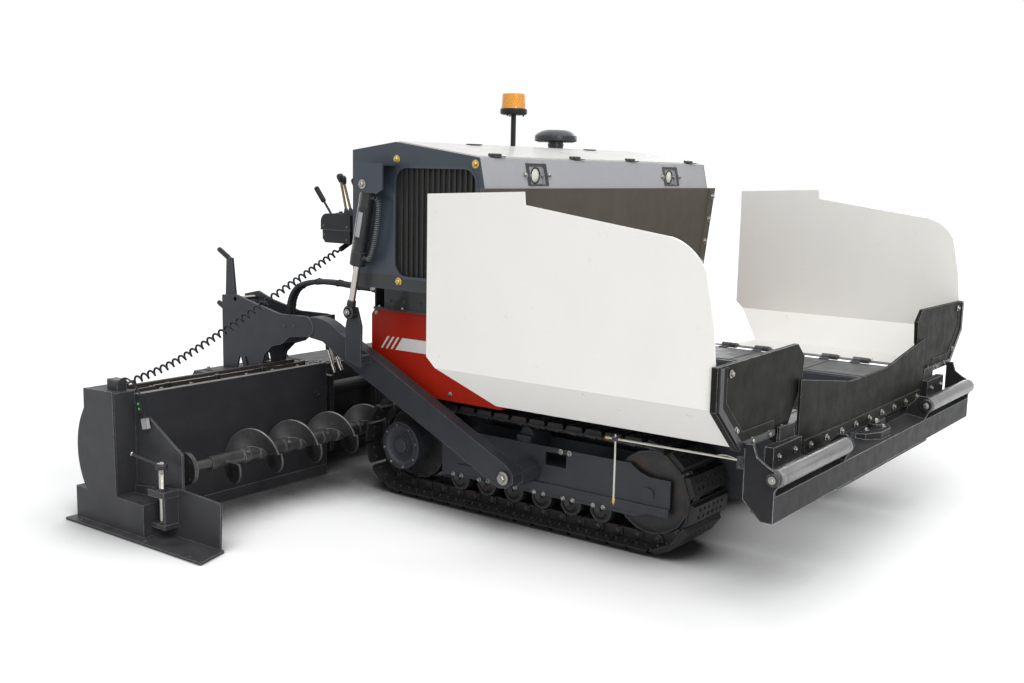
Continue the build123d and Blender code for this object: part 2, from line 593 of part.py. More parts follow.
def roof_z(x):
    if x < HOOD_RIDGE[0]:
        share = (x - HOOD_REAR_X) / (HOOD_RIDGE[0] - HOOD_REAR_X)
        return HOOD_REAR_TOP_Z + share * (HOOD_RIDGE[1] - HOOD_REAR_TOP_Z)
    share = (x - HOOD_RIDGE[0]) / (HOOD_FRONT_TOP[0] - HOOD_RIDGE[0])
    return HOOD_RIDGE[1] + share * (HOOD_FRONT_TOP[1] - HOOD_RIDGE[1])


LID_X0, LID_X1 = HOOD_RIDGE[0] + 6, HOOD_FRONT_TOP[0] - 26
LID_HINGE_X = LID_X1
LID_OUTER_Y = HOOD_HALF_WIDTH - 16
LID_INNER_Y = 5


LAMP_Y = 665
LAMP_Z = 1692
LAMP_DEPTH = 70
LAMP_RADIUS = 36
LIFT_PIN_RADIUS = 12


def make_hood():
    half = HOOD_HALF_WIDTH
    shell = side_sheet(hood_outline(0), -half, half)
    shell = shell - side_sheet(hood_outline(HOOD_SHEET), -half + HOOD_SHEET, half - HOOD_SHEET)
    for sign in (-1, 1):
        shell = shell - grille_window(sign * (half + 1), sign * (half - HOOD_SHEET - 1), 0)
        shell = shell - block(LID_X0 + 14, LID_X1 - 20, sign * (LID_OUTER_Y - 14), sign * 25, 1700, 1900)
    solids = []
    for sign in (-1, 1):
        outer = sign * (LIFT_Y + BARREL_RADIUS + 16)
        x0, x1 = LIFT_TOP[0] - 55, LIFT_TOP[0] + 130
        cheek = [(x0, 1600), (x0, 1735), (x1, 1735), (x1, 1610), (x1 - 40, 1590)]
        solids.append(side_sheet(cheek, outer, outer - sign * 10))
        solids.append(block(x0, x1, sign * half, outer, 1725, 1735))
        solids.append(block(x0, x0 + 10, sign * half, outer, 1650, 1735))
        solids.append(cross_rod(*LIFT_TOP, sign * half, outer, LIFT_PIN_RADIUS))
        solids.append(block(HOOD_REAR_X, HOOD_FRONT_X, sign * (DECK_HALF_WIDTH - 180), sign * half,
                            HOOD_BOTTOM_Z, HOOD_BOTTOM_Z + HOOD_SHEET))
        lamp_y = sign * LAMP_Y
        pocket = block(HOOD_FRONT_X - LAMP_DEPTH, HOOD_FRONT_X + 20, lamp_y - 62, lamp_y + 62, 1648, 1735)
        shell = shell - pocket
        back_x = HOOD_FRONT_X - LAMP_DEPTH
        solids.append(block(back_x - HOOD_SHEET, back_x, lamp_y - 68, lamp_y + 68, 1640, 1765))
        for edge in (lamp_y - 68, lamp_y + 62):
            cheek_plate = [(back_x, 1640), (back_x, 1765), (402, 1763), (HOOD_FRONT_X - 1, 1640)]
            solids.append(side_sheet(cheek_plate, edge, edge + HOOD_SHEET))
        lamp = [(back_x, LAMP_RADIUS - 14), (back_x + 18, LAMP_RADIUS), (back_x + 40, LAMP_RADIUS)]
        solids.append(turned_ahead(lamp_y, LAMP_Z, lamp, 14))
    keep("hood", fuse(shell, *solids))
    ring = block(GRILLE_X0 - 40, GRILLE_X1 + 10, -half + HOOD_SHEET + SEAT, -half + 22,
                 GRILLE_Z0 - 40, GRILLE_Z1 + 20)
    ring = ring - grille_window(-half - 1, -half + 30, 2)
    bars = []
    pitch = (GRILLE_X1 - GRILLE_X0) / (GRILLE_BARS + 1)
    for index in range(GRILLE_BARS):
        x = GRILLE_X0 + (index + 1) * pitch
        bars.append(block(x - 4, x + 4, -half + HOOD_SHEET + 4, -half + 22, GRILLE_Z0 - 10,
                          GRILLE_Z1 + 10))
    core = block(GRILLE_X0 - 40, GRILLE_X1 + 10, -half + 22, -half + 70, GRILLE_Z0 - 40,
                 GRILLE_Z1 + 20)
    keep_both("grille", fuse(core, ring, *bars))


def make_lids():
    points = [(x, roof_z(x) + rise) for x, rise in ((LID_X0, SEAT), (LID_X1, SEAT),
                                                  (LID_X1, SEAT + LID_SHEET),
                                                  (LID_X0, SEAT + LID_SHEET))]
    sheet = side_sheet(points, -LID_OUTER_Y, -LID_INNER_Y)
    keep_both("lid", sheet)


def make_engine():
    top = DECK_Z + DECK_PLATE
    keep("engine_block", block(-300, 260, -640, 640, top + SEAT, 1600))


# Controls and roof fittings
LEVER_TABLE = (  # distance from the console's centre line, lean toward the rear, knob height
    (-70, 62, 1662),
    (-30, 80, 1650),
    (20, 44, 1640),
    (65, 58, 1628),
)
CONSOLE_Y = -820
CONSOLE_HALF = 100
CONSOLE_REAR_X = -830
CONSOLE_SEAM_Z = 1380
TRAY_BOTTOM_Z = 1310
GLAND_RADIUS = 14
GLAND_LENGTH = 78
CABLE_ROUTE = [(-702, -900, 1276), (-728, -1015, 1206), (-780, -1200, 1094), (-822, -1385, 985),
               (-850, -1580, 882), (-878, -1770, 785), (-902, -1930, 722), (-925, -2080, 684)]
CABLE_START = Vector(*CABLE_ROUTE[0])
CABLE_START_WAY = (Vector(*CABLE_ROUTE[1]) - CABLE_START).normalized()


def make_console():
    front, outer, inner = CONSOLE_FRONT_X, CONSOLE_Y - CONSOLE_HALF, CONSOLE_Y + CONSOLE_HALF
    rear, seam = CONSOLE_REAR_X, CONSOLE_SEAM_Z
    back = Polyline((rear, seam), (rear, 1418))
    hump = ThreePointArc((rear, 1418), (rear + 11, 1450), (rear + 44, 1466))
    slope = Polyline((rear + 44, 1466), (-690, 1468), (front, 1462), (front, seam), (rear, seam))
    cover = extrude(side_face(inner, back, hump, slope), 2 * CONSOLE_HALF)
    tray = [(rear + 7, seam), (rear + 7, 1332), (rear + 28, TRAY_BOTTOM_Z), (front - 8, TRAY_BOTTOM_Z),
            (front - 8, seam)]
    tray = side_sheet(tray, outer + 7, inner - 7)
    stand = block(front - 20, HOOD_REAR_X - SEAT, CONSOLE_Y - 20, CONSOLE_Y + 20, 1325, 1365)
    shaft = bar((-780, outer + 40, 1450), (-848, outer + 40, 1532), 7, 6)
    grip = bar((-845, outer + 40, 1528), (-905, outer + 40, 1600), 13)
    sticks = []
    for across, lean, knob_z in LEVER_TABLE:
        base = (-650, CONSOLE_Y + across, 1420)
        tip = (-650 - lean, CONSOLE_Y + across, knob_z)
        sticks.append(bar(base, tip, 5, 6))
        sticks.append(turned_up(tip[0], tip[1], [(knob_z - 14, 8), (knob_z - 4, 16), (knob_z + 6, 16),
                                                 (knob_z + 14, 8)], 8))
    keep_both("console", fuse(cover, tray, stand, shaft, grip, *sticks))
    gland_root = CABLE_START - CABLE_START_WAY * GLAND_LENGTH
    gland = bar(tuple(gland_root), tuple(CABLE_START - CABLE_START_WAY * SEAT), GLAND_RADIUS, 10)
    keep("right_console", fuse(parts["right_console"], gland))


def make_roof_fittings():
    beacon_x, beacon_y = -220, -20
    base = roof_z(beacon_x)
    foot = block(beacon_x - 30, beacon_x + 30, beacon_y - 30, beacon_y + 30, base + 4.5, base + 12)
    pole = block(beacon_x - 11, beacon_x + 11, beacon_y - 11, beacon_y + 11, base + 4.5, 2022)
    shape = [(2020, 60), (2026, 76), (2052, 76), (2056, 70), (2130, 65), (2138, 58)]
    keep("beacon", fuse(foot, pole, turned_up(beacon_x, beacon_y, shape)))
    cleaner_x, cleaner_y = -205, 380
    stem_base = roof_z(cleaner_x + 45) + SEAT
    stem = bar((cleaner_x, cleaner_y, stem_base), (cleaner_x, cleaner_y, 1890), 45, 16)
    shape = [(1880, 98), (1888, 122), (1896, 125), (1918, 125), (1940, 98), (1954, 60)]
    keep("pre_cleaner", fuse(stem, turned_up(cleaner_x, cleaner_y, shape, 24)))


def make_guide_rod():
    rod_y, rod_z = -BUMPER_HALF_WIDTH - 5, 631
    bracket = block(1845, END_PLATE_REAR_X - SEAT, rod_y - 5, rod_y + 13, rod_z - 31, rod_z + 19)
    rail = bar((1250, rod_y, rod_z - 3), (1850, rod_y, rod_z + 3), 5, 6)
    pointer = bar((1297, rod_y, 343), (1297, rod_y, 650), 5, 6)
    keep("guide_rod", fuse(rail, pointer, bracket))


# Augers: a tube with bolted flights, each one full turn of a rising blade
FLIGHT_TURNS = 6
FLIGHT_STEPS = 9
FLIGHT_START_Y = 112
FLIGHT_GAP = 6


def flight(start_y):
    """One turn of blade around the auger's axis, through radial sections."""
    root = AUGER_TUBE_RADIUS - 6
    rings = []
    for step in range(FLIGHT_STEPS + 1):
        share = step / FLIGHT_STEPS
        turn = 2 * pi * share
        y = -start_y - share * (AUGER_PITCH - FLIGHT_GAP - FLIGHT_SHEET)
        corners = [(AUGER_X + reach * cos(turn), y - rise, AUGER_Z + reach * sin(turn))
                   for reach, rise in ((root, 0), (AUGER_RADIUS, 0), (AUGER_RADIUS, FLIGHT_SHEET),
                                       (root, FLIGHT_SHEET))]
        rings.append(corners)
    return faceted(rings, twisted=True)


def make_augers():
    tube_solid = cross_bar(AUGER_X, AUGER_Z, -AUGER_TUBE_OUTER_Y, -AUGER_INNER_Y, AUGER_TUBE_RADIUS, 8)
    stub = cross_bar(AUGER_X, AUGER_Z, -AUGER_END_Y + 20, -AUGER_TUBE_OUTER_Y, AUGER_STUB_RADIUS, 8)
    disc = cross_rod(AUGER_X, AUGER_Z, -AUGER_END_Y, -AUGER_END_Y + 20, 80)
    flights = [flight(FLIGHT_START_Y + index * AUGER_PITCH) for index in range(FLIGHT_TURNS)]
    bore = cross_rod(AUGER_X, AUGER_Z, -AUGER_INNER_Y - 38, 0, AUGER_PIN_RADIUS + RUNNING)
    auger = fuse(tube_solid, stub, disc, *flights) - bore
    for index in range(FLANGE_HOLES):
        turn = radians(45 + 360 * index / FLANGE_HOLES)
        x, z = AUGER_X + FLANGE_PITCH_RADIUS * cos(turn), AUGER_Z + FLANGE_PITCH_RADIUS * sin(turn)
        auger = auger - cross_rod(x, z, -AUGER_END_Y - 1, -AUGER_END_Y + 21, FLANGE_HOLE_RADIUS)
    keep_both("auger", auger)


# Screed
def make_screed():
    half = SCREED_HALF_WIDTH
    section = [(SCREED_FRONT_X, 0), (SCREED_FRONT_X, SCREED_TOP_Z), (SCREED_REAR_X + 60, SCREED_TOP_Z),
               (SCREED_REAR_X, 480), (SCREED_REAR_X, 0)]
    body = side_sheet(section, -half, half)
    solids = [block(WALKWAY_REAR_X, SCREED_REAR_X, -half, half, WALKWAY_Z - 35, WALKWAY_Z)]
    for y in (-900, 0, 900):
        gusset = [(SCREED_REAR_X, 180), (SCREED_REAR_X, WALKWAY_Z - 35), (WALKWAY_REAR_X + 90, WALKWAY_Z - 35)]
        solids.append(side_sheet(gusset, y - 6, y + 6))
    for sign in (-1, 1):
        for y in (300, 680):
            plate = block(GUIDE_X + 70, SCREED_FRONT_X, sign * y, sign * (y + 30), 90, 530)
            for z in GUIDE_HEIGHTS:
                plate = plate - cross_bar(GUIDE_X, z, sign * (y - 5), sign * (y + 35),
                                          GUIDE_RADIUS + GUIDE_CLEARANCE, GUIDE_SIDES)
            solids.append(plate)
    keep("screed_body", fuse(body, *solids))


ARM_SHEET = 15
ARM_BOX_REAR_X = -785
ARM_INNER_PLATE_Y = 885
ARM_VALLEY_Z = 765
ARM_LEGS = [(-949, 792), (-1007, 749), (-1090, 725), (-1155, 672), (-1172, 620),
            (-1178, SCREED_TOP_Z), (-1268, SCREED_TOP_Z), (-1292, 649), (-1317, 646),
            (-1297, SCREED_TOP_Z), (-1320, SCREED_TOP_Z), (-1352, 642), (-1366, 642),
            (-1394, SCREED_TOP_Z), (-1505, SCREED_TOP_Z)]


def arm_plate(face_y, *top):
    """Side plate of the arm's rear part, with a round end over the box beam."""
    legs = Polyline((-798, 811), *ARM_LEGS, *top, (-825, 918))
    round_end = ThreePointArc((-825, 918), (-767, 859), (-798, 811))
    return extrude(side_face(face_y, legs, round_end), ARM_SHEET)


def make_tow_arms():
    box_top = Polyline((ARM_BOX_REAR_X, 917), (-733, 919))
    shoulder = ThreePointArc((-733, 919), (-640, 899), (-563, 854))
    box_rest = Polyline((-563, 854), (-311, 749), (548, 329), (586, 290), (586, 250), (548, 222),
                        (500, 216), (-236, 566), (-581, 733), (-690, 795), (ARM_BOX_REAR_X, 806),
                        (ARM_BOX_REAR_X, 917))
    arm = extrude(side_face(-ARM_INNER_Y, box_top, shoulder, box_rest), ARM_OUTER_Y - ARM_INNER_Y)
    arm = arm - cross_rod(TOW_PIVOT_X, TOW_PIVOT_Z, -ARM_OUTER_Y - 1, -ARM_INNER_Y + 1,
                          TOW_PIN_RADIUS + RUNNING)
    solids = [arm_plate(-ARM_OUTER_Y + ARM_SHEET, (-1505, 980), (-1396, 992), (-1210, 950), (-1024, 913)),
              arm_plate(-ARM_INNER_PLATE_Y + ARM_SHEET, (-1500, 975), (-1385, 1000), (-1273, 962),
                        (-1045, 916))]
    inside = (-ARM_OUTER_Y + ARM_SHEET, -ARM_INNER_PLATE_Y)
    cross_plates = (  # rear x, front x, lower z, upper z
        (ARM_BOX_REAR_X, ARM_BOX_REAR_X + 12, 806, 917),
        (-1150, -1010, ARM_VALLEY_Z - 14, ARM_VALLEY_Z),
        (-1400, -1385, 655, 940),
    )
    for x0, x1, z0, z1 in cross_plates:
        solids.append(block(x0, x1, *inside, z0, z1))
    solids.append(block(ARM_BOX_REAR_X, ARM_BOX_REAR_X + 12, -ARM_INNER_Y, -ARM_INNER_PLATE_Y + ARM_SHEET,
                        806, 917))
    lug = [(LIFT_EYE[0] - 55, 740), (LIFT_EYE[0] - 58, 900), (LIFT_EYE[0] - 30, LIFT_EYE[1] + 25),
           (LIFT_EYE[0] + 25, LIFT_EYE[1] + 25), (LIFT_EYE[0] + 55, 920), (LIFT_EYE[0] + 50, 710)]
    solids.append(side_sheet(lug, -LIFT_Y + 22, -LIFT_Y + 34))
    solids.append(block(LIFT_EYE[0] - 40, LIFT_EYE[0] + 40, -LIFT_Y + 34, -ARM_OUTER_Y, 725, 765))
    solids.append(cross_bar(*LIFT_EYE, -LIFT_Y - 22, -LIFT_Y + 34, LIFT_PIN_RADIUS))
    crank_y = -ARM_OUTER_Y + 36
    crank = side_sheet([(-1500, 940), (-1486, 1192), (-1440, 1192), (-1412, 940)], crank_y, crank_y - 16)
    grips = [bar((-1455, crank_y - 8, 1180), (-1560, crank_y - 8, 1236), 13),
             bar((-1470, crank_y - 8, 880), (-1572, crank_y - 8, 930), 12),
             block(-1500, -1412, crank_y, -ARM_OUTER_Y + ARM_SHEET, 900, 940),
             block(-1480, -1440, crank_y - 16, -ARM_OUTER_Y + ARM_SHEET, 860, 900)]
    keep_both("tow_arm", fuse(arm, *solids, crank, *grips))
    valve = block(HOSE_END[0] - 35, HOSE_END[0] + 35, HOSE_END[1] - 30, HOSE_END[1] + 30, ARM_VALLEY_Z,
                  HOSE_END[2] - SEAT)
    keep("right_tow_arm", fuse(parts["right_tow_arm"], valve))


GUIDE_SIDES = 16
GUIDE_CLEARANCE = 0.6
MOLDBOARD = 12
RAIL_TABLE = (  # rear x, front x, height above the body
    (-1150, -1128, 22),
    (-1060, -1046, 16),
    (-960, -946, 16),
)


def make_extensions():
    top = EXTENSION_TOP_Z - 36
    body = block(EXTENSION_FRONT_X, EXTENSION_REAR_X, -EXTENSION_OUTER_Y, -EXTENSION_INNER_Y, 0, top)
    front = block(EXTENSION_FRONT_X, EXTENSION_FRONT_X - MOLDBOARD, -EXTENSION_OUTER_Y,
                  -EXTENSION_INNER_Y, top, EXTENSION_TOP_Z)
    rails = [block(x0, x1, -EXTENSION_OUTER_Y, -EXTENSION_INNER_Y, top, top + rise)
             for x0, x1, rise in RAIL_TABLE]
    guides = [cross_bar(GUIDE_X, z, -EXTENSION_INNER_Y, -250, GUIDE_RADIUS, GUIDE_SIDES)
              for z in GUIDE_HEIGHTS]
    keep_both("extension", fuse(body, front, *rails, *guides))


CABLE_END = Vector(*CABLE_ROUTE[-1])
CABLE_END_WAY = (CABLE_END - Vector(*CABLE_ROUTE[-2])).normalized()
JUNCTION_X, JUNCTION_Z = (-985, -905), (655, 704)


def make_end_gates():
    face = -EXTENSION_OUTER_Y
    plate = side_sheet([(-1060, 20), (-1060, 600), (-880, 600), (-532, 399), (-534, 239), (-540, 20)],
                       face, face - GATE_SHEET)
    low_y = face - GATE_SHEET
    low_edge = Polyline((-262, 0), (-1190, 0), (-1190, 160), (-534, 239), (-275, 227))
    low_corner = ThreePointArc((-275, 227), (-258, 220), (-252, 204))
    low = extrude(side_face(low_y, low_edge, low_corner, Polyline((-252, 204), (-262, 0))), 10)
    ski = flat_sheet([(-1210, -SKI_OUTER_Y), (-190, -SKI_OUTER_Y), (-245, low_y), (-1210, low_y)], 0, 12)
    box = block(-1190, -660, -POST_OUTER_Y, low_y - 10, 12, 165)
    rear = ThreePointArc((-1105, 165), (-1167, 345), (-1104, 560))
    edges = Polyline((-1104, 560), (-1104, 655), (-875, 665), (-865, 165), (-1105, 165))
    skin = extrude(side_face(-POST_OUTER_Y + 10, rear, edges), 10)
    web = block(-885, -875, -POST_OUTER_Y + 10, low_y, 165, 655)
    cap = block(-1100, -875, -POST_OUTER_Y + 10, low_y, 645, 655)
    inner = block(-1100, -875, low_y, low_y - 8, 165, 645)
    screw_x, screw_y = -605, -2135
    screw = bar((screw_x, screw_y, 60), (screw_x, screw_y, 350), 14, 10)
    clevis = block(-670, -550, low_y - 10, -2165, 205, 235)
    foot = block(-650, -550, low_y - 10, -2165, 60, 80)
    side_plate = block(-566, -554, low_y - 10, -2160, 80, 205)
    head = bar((screw_x, screw_y, 335), (screw_x, screw_y, 362), 26, 10)
    handle = bar((screw_x, screw_y, 350), (-800, -2150, 374), 9, 6)
    gate = fuse(plate, low, ski, box, skin, web, cap, inner, screw, clevis, foot, side_plate, head, handle)
    keep_both("end_gate", gate)
    gland_start = CABLE_END + CABLE_END_WAY * SEAT
    gland = bar(tuple(gland_start), tuple(gland_start + CABLE_END_WAY * 34), GLAND_RADIUS, 10)
    junction = block(*JUNCTION_X, -2150, -2098, *JUNCTION_Z)
    keep("right_end_gate", fuse(parts["right_end_gate"], junction, gland))


# Cords of the right-hand side: the coiled cable's outer shape, and two hoses side by side
COIL_RADIUS = 21


def make_cords():
    keep("coiled_cable", tube("coiled_cable", CABLE_ROUTE, COIL_RADIUS))
    start_x = BULKHEAD_X - NIPPLE_LENGTH - SEAT
    centre = [(start_x, -900, HOSE_START_Z), (-560, -900, HOSE_START_Z), (-720, -915, 1100),
              (-870, -930, 1096), (-985, -938, 1062), (-1038, -942, 985), (-1045, -942, 890), HOSE_END]
    hoses = []
    for shift in (-HOSE_SPACING / 2, HOSE_SPACING / 2):
        hoses.append(tube("hose", [(x, y + shift, z) for x, y, z in centre], HOSE_RADIUS))
    keep("hose_bundle", *hoses)


# Lift cylinders
EYE_CLEARANCE = 10
EYE_RADIUS = 34


def make_lift():
    top = Vector(LIFT_TOP[0], -LIFT_Y, LIFT_TOP[1])
    eye = Vector(LIFT_EYE[0], -LIFT_Y, LIFT_EYE[1])
    way = (eye - top).normalized()
    length = (eye - top).length
    barrel = bar(tuple(top + way * 20), tuple(top + way * 400), BARREL_RADIUS, 14)
    collar = bar(tuple(top + way * 380), tuple(top + way * 412), BARREL_RADIUS + 6, 14)
    port = bar(tuple(top + way * 366), tuple(top + way * 366 + Vector(62, 0, -8)), 13, 8)
    head = cross_bar(*LIFT_TOP, -LIFT_Y - 18, -LIFT_Y + 18, 28, 12)
    bore = cross_rod(*LIFT_TOP, -LIFT_Y - 40, -LIFT_Y + 40, LIFT_PIN_RADIUS + RUNNING)
    hollow = bar(tuple(top + way * 70), tuple(top + way * 440), ROD_RADIUS + 1, 12)
    keep_both("lift_barrel", fuse(barrel, collar, port, head) - bore - hollow)
    shaft = bar(tuple(top + way * 335), tuple(top + way * (length - EYE_RADIUS + 4)), ROD_RADIUS, 12)
    eye_ring = cross_bar(*LIFT_EYE, -LIFT_Y - 18, -LIFT_Y + 18, EYE_RADIUS, 14)
    eye_bore = cross_bar(*LIFT_EYE, -LIFT_Y - 40, -LIFT_Y + 40, LIFT_PIN_RADIUS + EYE_CLEARANCE, 14)
    keep_both("lift_rod", fuse(shaft, eye_ring) - eye_bore)


make_track()
make_track_frame()
make_main_frame()
make_side_boxes()
make_deck()
make_hopper_floor()
make_rear_wall()
make_conveyor()
make_wings()
make_apron()
make_bumper()
make_hood()
make_lids()
make_engine()
make_console()
make_roof_fittings()
make_guide_rod()
make_augers()
make_screed()
make_tow_arms()
make_extensions()
make_end_gates()
make_lift()
make_cords()

os.makedirs("parts", exist_ok=True)
for name, shape in parts.items():
    export_step(shape, f"parts/{name}.step")
    print(name, "solids", len(shape.solids()), "volume", round(shape.volume / 1e9, 4))
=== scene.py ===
from math import cos, pi, radians, sin

import bmesh
import bpy
from mathutils import Matrix, Vector


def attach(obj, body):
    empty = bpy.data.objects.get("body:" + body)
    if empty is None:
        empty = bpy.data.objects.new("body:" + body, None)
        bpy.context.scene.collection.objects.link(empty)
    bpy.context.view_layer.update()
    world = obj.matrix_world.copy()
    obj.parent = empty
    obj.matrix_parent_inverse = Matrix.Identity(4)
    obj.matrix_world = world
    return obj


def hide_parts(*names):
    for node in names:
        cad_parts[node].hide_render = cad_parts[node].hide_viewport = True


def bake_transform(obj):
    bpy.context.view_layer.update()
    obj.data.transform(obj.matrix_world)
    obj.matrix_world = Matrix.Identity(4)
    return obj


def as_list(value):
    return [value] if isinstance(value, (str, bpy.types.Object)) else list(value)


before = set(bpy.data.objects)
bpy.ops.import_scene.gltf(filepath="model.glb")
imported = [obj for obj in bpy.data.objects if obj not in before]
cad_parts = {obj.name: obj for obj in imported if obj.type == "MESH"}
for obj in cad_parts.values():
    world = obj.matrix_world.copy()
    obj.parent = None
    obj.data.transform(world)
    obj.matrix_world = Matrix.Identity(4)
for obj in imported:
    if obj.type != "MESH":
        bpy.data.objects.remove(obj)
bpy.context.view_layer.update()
sides = (("right", -1), ("left", 1))
forward, leftward, upward = (1, 0, 0), (0, 1, 0), (0, 0, 1)


# Node helpers

def feed(tree, value, socket):
    # a number or a colour is set, and a node's output is linked
    if isinstance(value, (int, float)):
        socket.default_value = value
    elif isinstance(value, tuple):
        socket.default_value = (*value, 1)
    else:
        tree.links.new(value, socket)


def calc(tree, operation, first, second=0):
    node = tree.nodes.new("ShaderNodeMath")
    node.operation = operation
    feed(tree, first, node.inputs[0])
    feed(tree, second, node.inputs[1])
    return node.outputs[0]


def mixColour(tree, amount, low, high, blend="MIX"):
    node = tree.nodes.new("ShaderNodeMix")
    node.data_type = "RGBA"
    node.blend_type = blend
    for index, value in ((0, amount), (6, low), (7, high)):
        feed(tree, value, node.inputs[index])
    return node.outputs[2]


def noise(tree, place, scale, detail, rough, stretch=None):
    if stretch:
        mapping = tree.nodes.new("ShaderNodeMapping")
        mapping.inputs["Scale"].default_value = stretch
        tree.links.new(place, mapping.inputs["Vector"])
        place = mapping.outputs[0]
    node = tree.nodes.new("ShaderNodeTexNoise")
    for socket, value in (("Scale", scale), ("Detail", detail), ("Roughness", rough), ("Vector", place)):
        feed(tree, value, node.inputs[socket])
    return node.outputs["Fac"]


def ramp(tree, value, low, high, start=0.0, end=1.0):
    node = tree.nodes.new("ShaderNodeMapRange")
    for socket, amount in (("From Min", low), ("From Max", high), ("To Min", start), ("To Max", end)):
        node.inputs[socket].default_value = amount
    tree.links.new(value, node.inputs["Value"])
    return node.outputs[0]


def split(tree, place):
    node = tree.nodes.new("ShaderNodeSeparateXYZ")
    tree.links.new(place, node.inputs[0])
    return {"x": node.outputs[0], "z": node.outputs[2], "out": calc(tree, "ABSOLUTE", node.outputs[1])}


def within(tree, axes, limits):
    # 1 inside every range of limits, which is a table of (axis, low, high)
    mask = None
    for axis, low, high in limits:
        part = calc(tree, "MULTIPLY", calc(tree, "GREATER_THAN", axes[axis], low),
                    calc(tree, "LESS_THAN", axes[axis], high))
        mask = part if mask is None else calc(tree, "MULTIPLY", mask, part)
    return mask


# Camera, lamps and floor

view = {
    "place": (3.7008, -5.2542, 1.7215),
    "yaw": 36.69,
    "pitch": 8.583,
    "roll": 1.157,
    "lens": 40.2,
}


def makeCamera():
    yaw, pitch, roll = (radians(view[key]) for key in ("yaw", "pitch", "roll"))
    ahead = Vector((-sin(yaw) * cos(pitch), cos(yaw) * cos(pitch), -sin(pitch)))
    across = Vector((cos(yaw), sin(yaw), 0))
    up = across.cross(ahead)
    right = across * cos(roll) + up * sin(roll)
    top = up * cos(roll) - across * sin(roll)
    data = bpy.data.cameras.new("camera")
    data.lens = view["lens"]
    data.sensor_width = 36
    data.clip_end = 200
    camera = bpy.data.objects.new("camera", data)
    turn = Matrix((right, top, -ahead)).transposed().to_4x4()
    camera.matrix_world = Matrix.Translation(view["place"]) @ turn
    bpy.context.scene.collection.objects.link(camera)
    bpy.context.scene.camera = camera


light = {
    "lamps": (  # name, place, aim, size, power
        ("front", (7.0, -4.5, 3.2), (1.0, 0, 0.7), 3.0, 110),
        ("left", (-1.0, 7.5, 4.0), (0, 0, 0.9), 4.0, 140),
        ("top", (1.4, -1.0, 4.9), (1.2, 0.9, 1.1), 2.0, 42),
        ("right", (3.0, -7.0, 4.0), (1.0, 1.5, 1.2), 3.0, 20),
    ),
    "sun": (1.25, 48, (32, 14, 20)),  # strength, spread, turn
    "sky": 0.47,
    "skyColour": (0.97, 0.985, 1),
}


def addLamp(name, kind, power):
    data = bpy.data.lights.new(name, kind)
    data.energy = power
    lamp = bpy.data.objects.new(name, data)
    bpy.context.scene.collection.objects.link(lamp)
    return lamp


def makeLamps():
    for name, place, aim, size, power in light["lamps"]:
        lamp = addLamp(name, "AREA", power)
        lamp.data.shape = "DISK"
        lamp.data.size = size
        lamp.location = place
        lamp.rotation_euler = (Vector(aim) - Vector(place)).to_track_quat("-Z", "Y").to_euler()
    strength, spread, turn = light["sun"]
    lamp = addLamp("sun", "SUN", strength)
    lamp.data.angle = radians(spread)
    lamp.rotation_euler = [radians(value) for value in turn]


def seenRays(tree):
    # 1 for what the camera sees straight, through glass or in a reflection
    path = tree.nodes.new("ShaderNodeLightPath")
    seen = calc(tree, "MAXIMUM", path.outputs["Is Camera Ray"], path.outputs["Is Transmission Ray"])
    return calc(tree, "MAXIMUM", seen, path.outputs["Is Glossy Ray"])


def makeWorld():
    # white where it is seen, and a softer sky that lights
    world = bpy.data.worlds.new("studio")
    world.use_nodes = True
    tree = world.node_tree
    tree.nodes.clear()
    mix = tree.nodes.new("ShaderNodeMixShader")
    tree.links.new(seenRays(tree), mix.inputs["Fac"])
    for index, colour, strength in ((1, light["skyColour"], light["sky"]), (2, (1, 1, 1), 1)):
        shade = tree.nodes.new("ShaderNodeBackground")
        feed(tree, colour, shade.inputs["Color"])
        feed(tree, strength, shade.inputs["Strength"])
        tree.links.new(shade.outputs[0], mix.inputs[index])
    out = tree.nodes.new("ShaderNodeOutputWorld")
    tree.links.new(mix.outputs[0], out.inputs["Surface"])
    bpy.context.scene.world = world


ground = {
    "reach": 60,
    "drop": 0.0005,
    "pale": 0.94,
    "dark": 0.08,  # painted shadow: the floor colour under the machine
    "near": 0.55,  # how far the painted shadow reaches out
    "samples": 16,
    "paintedShadowRamp": (0.38, 0.90),
    "glow": (2.2, 7.0, 0.17, 0.42),  # from, to, low, high
}


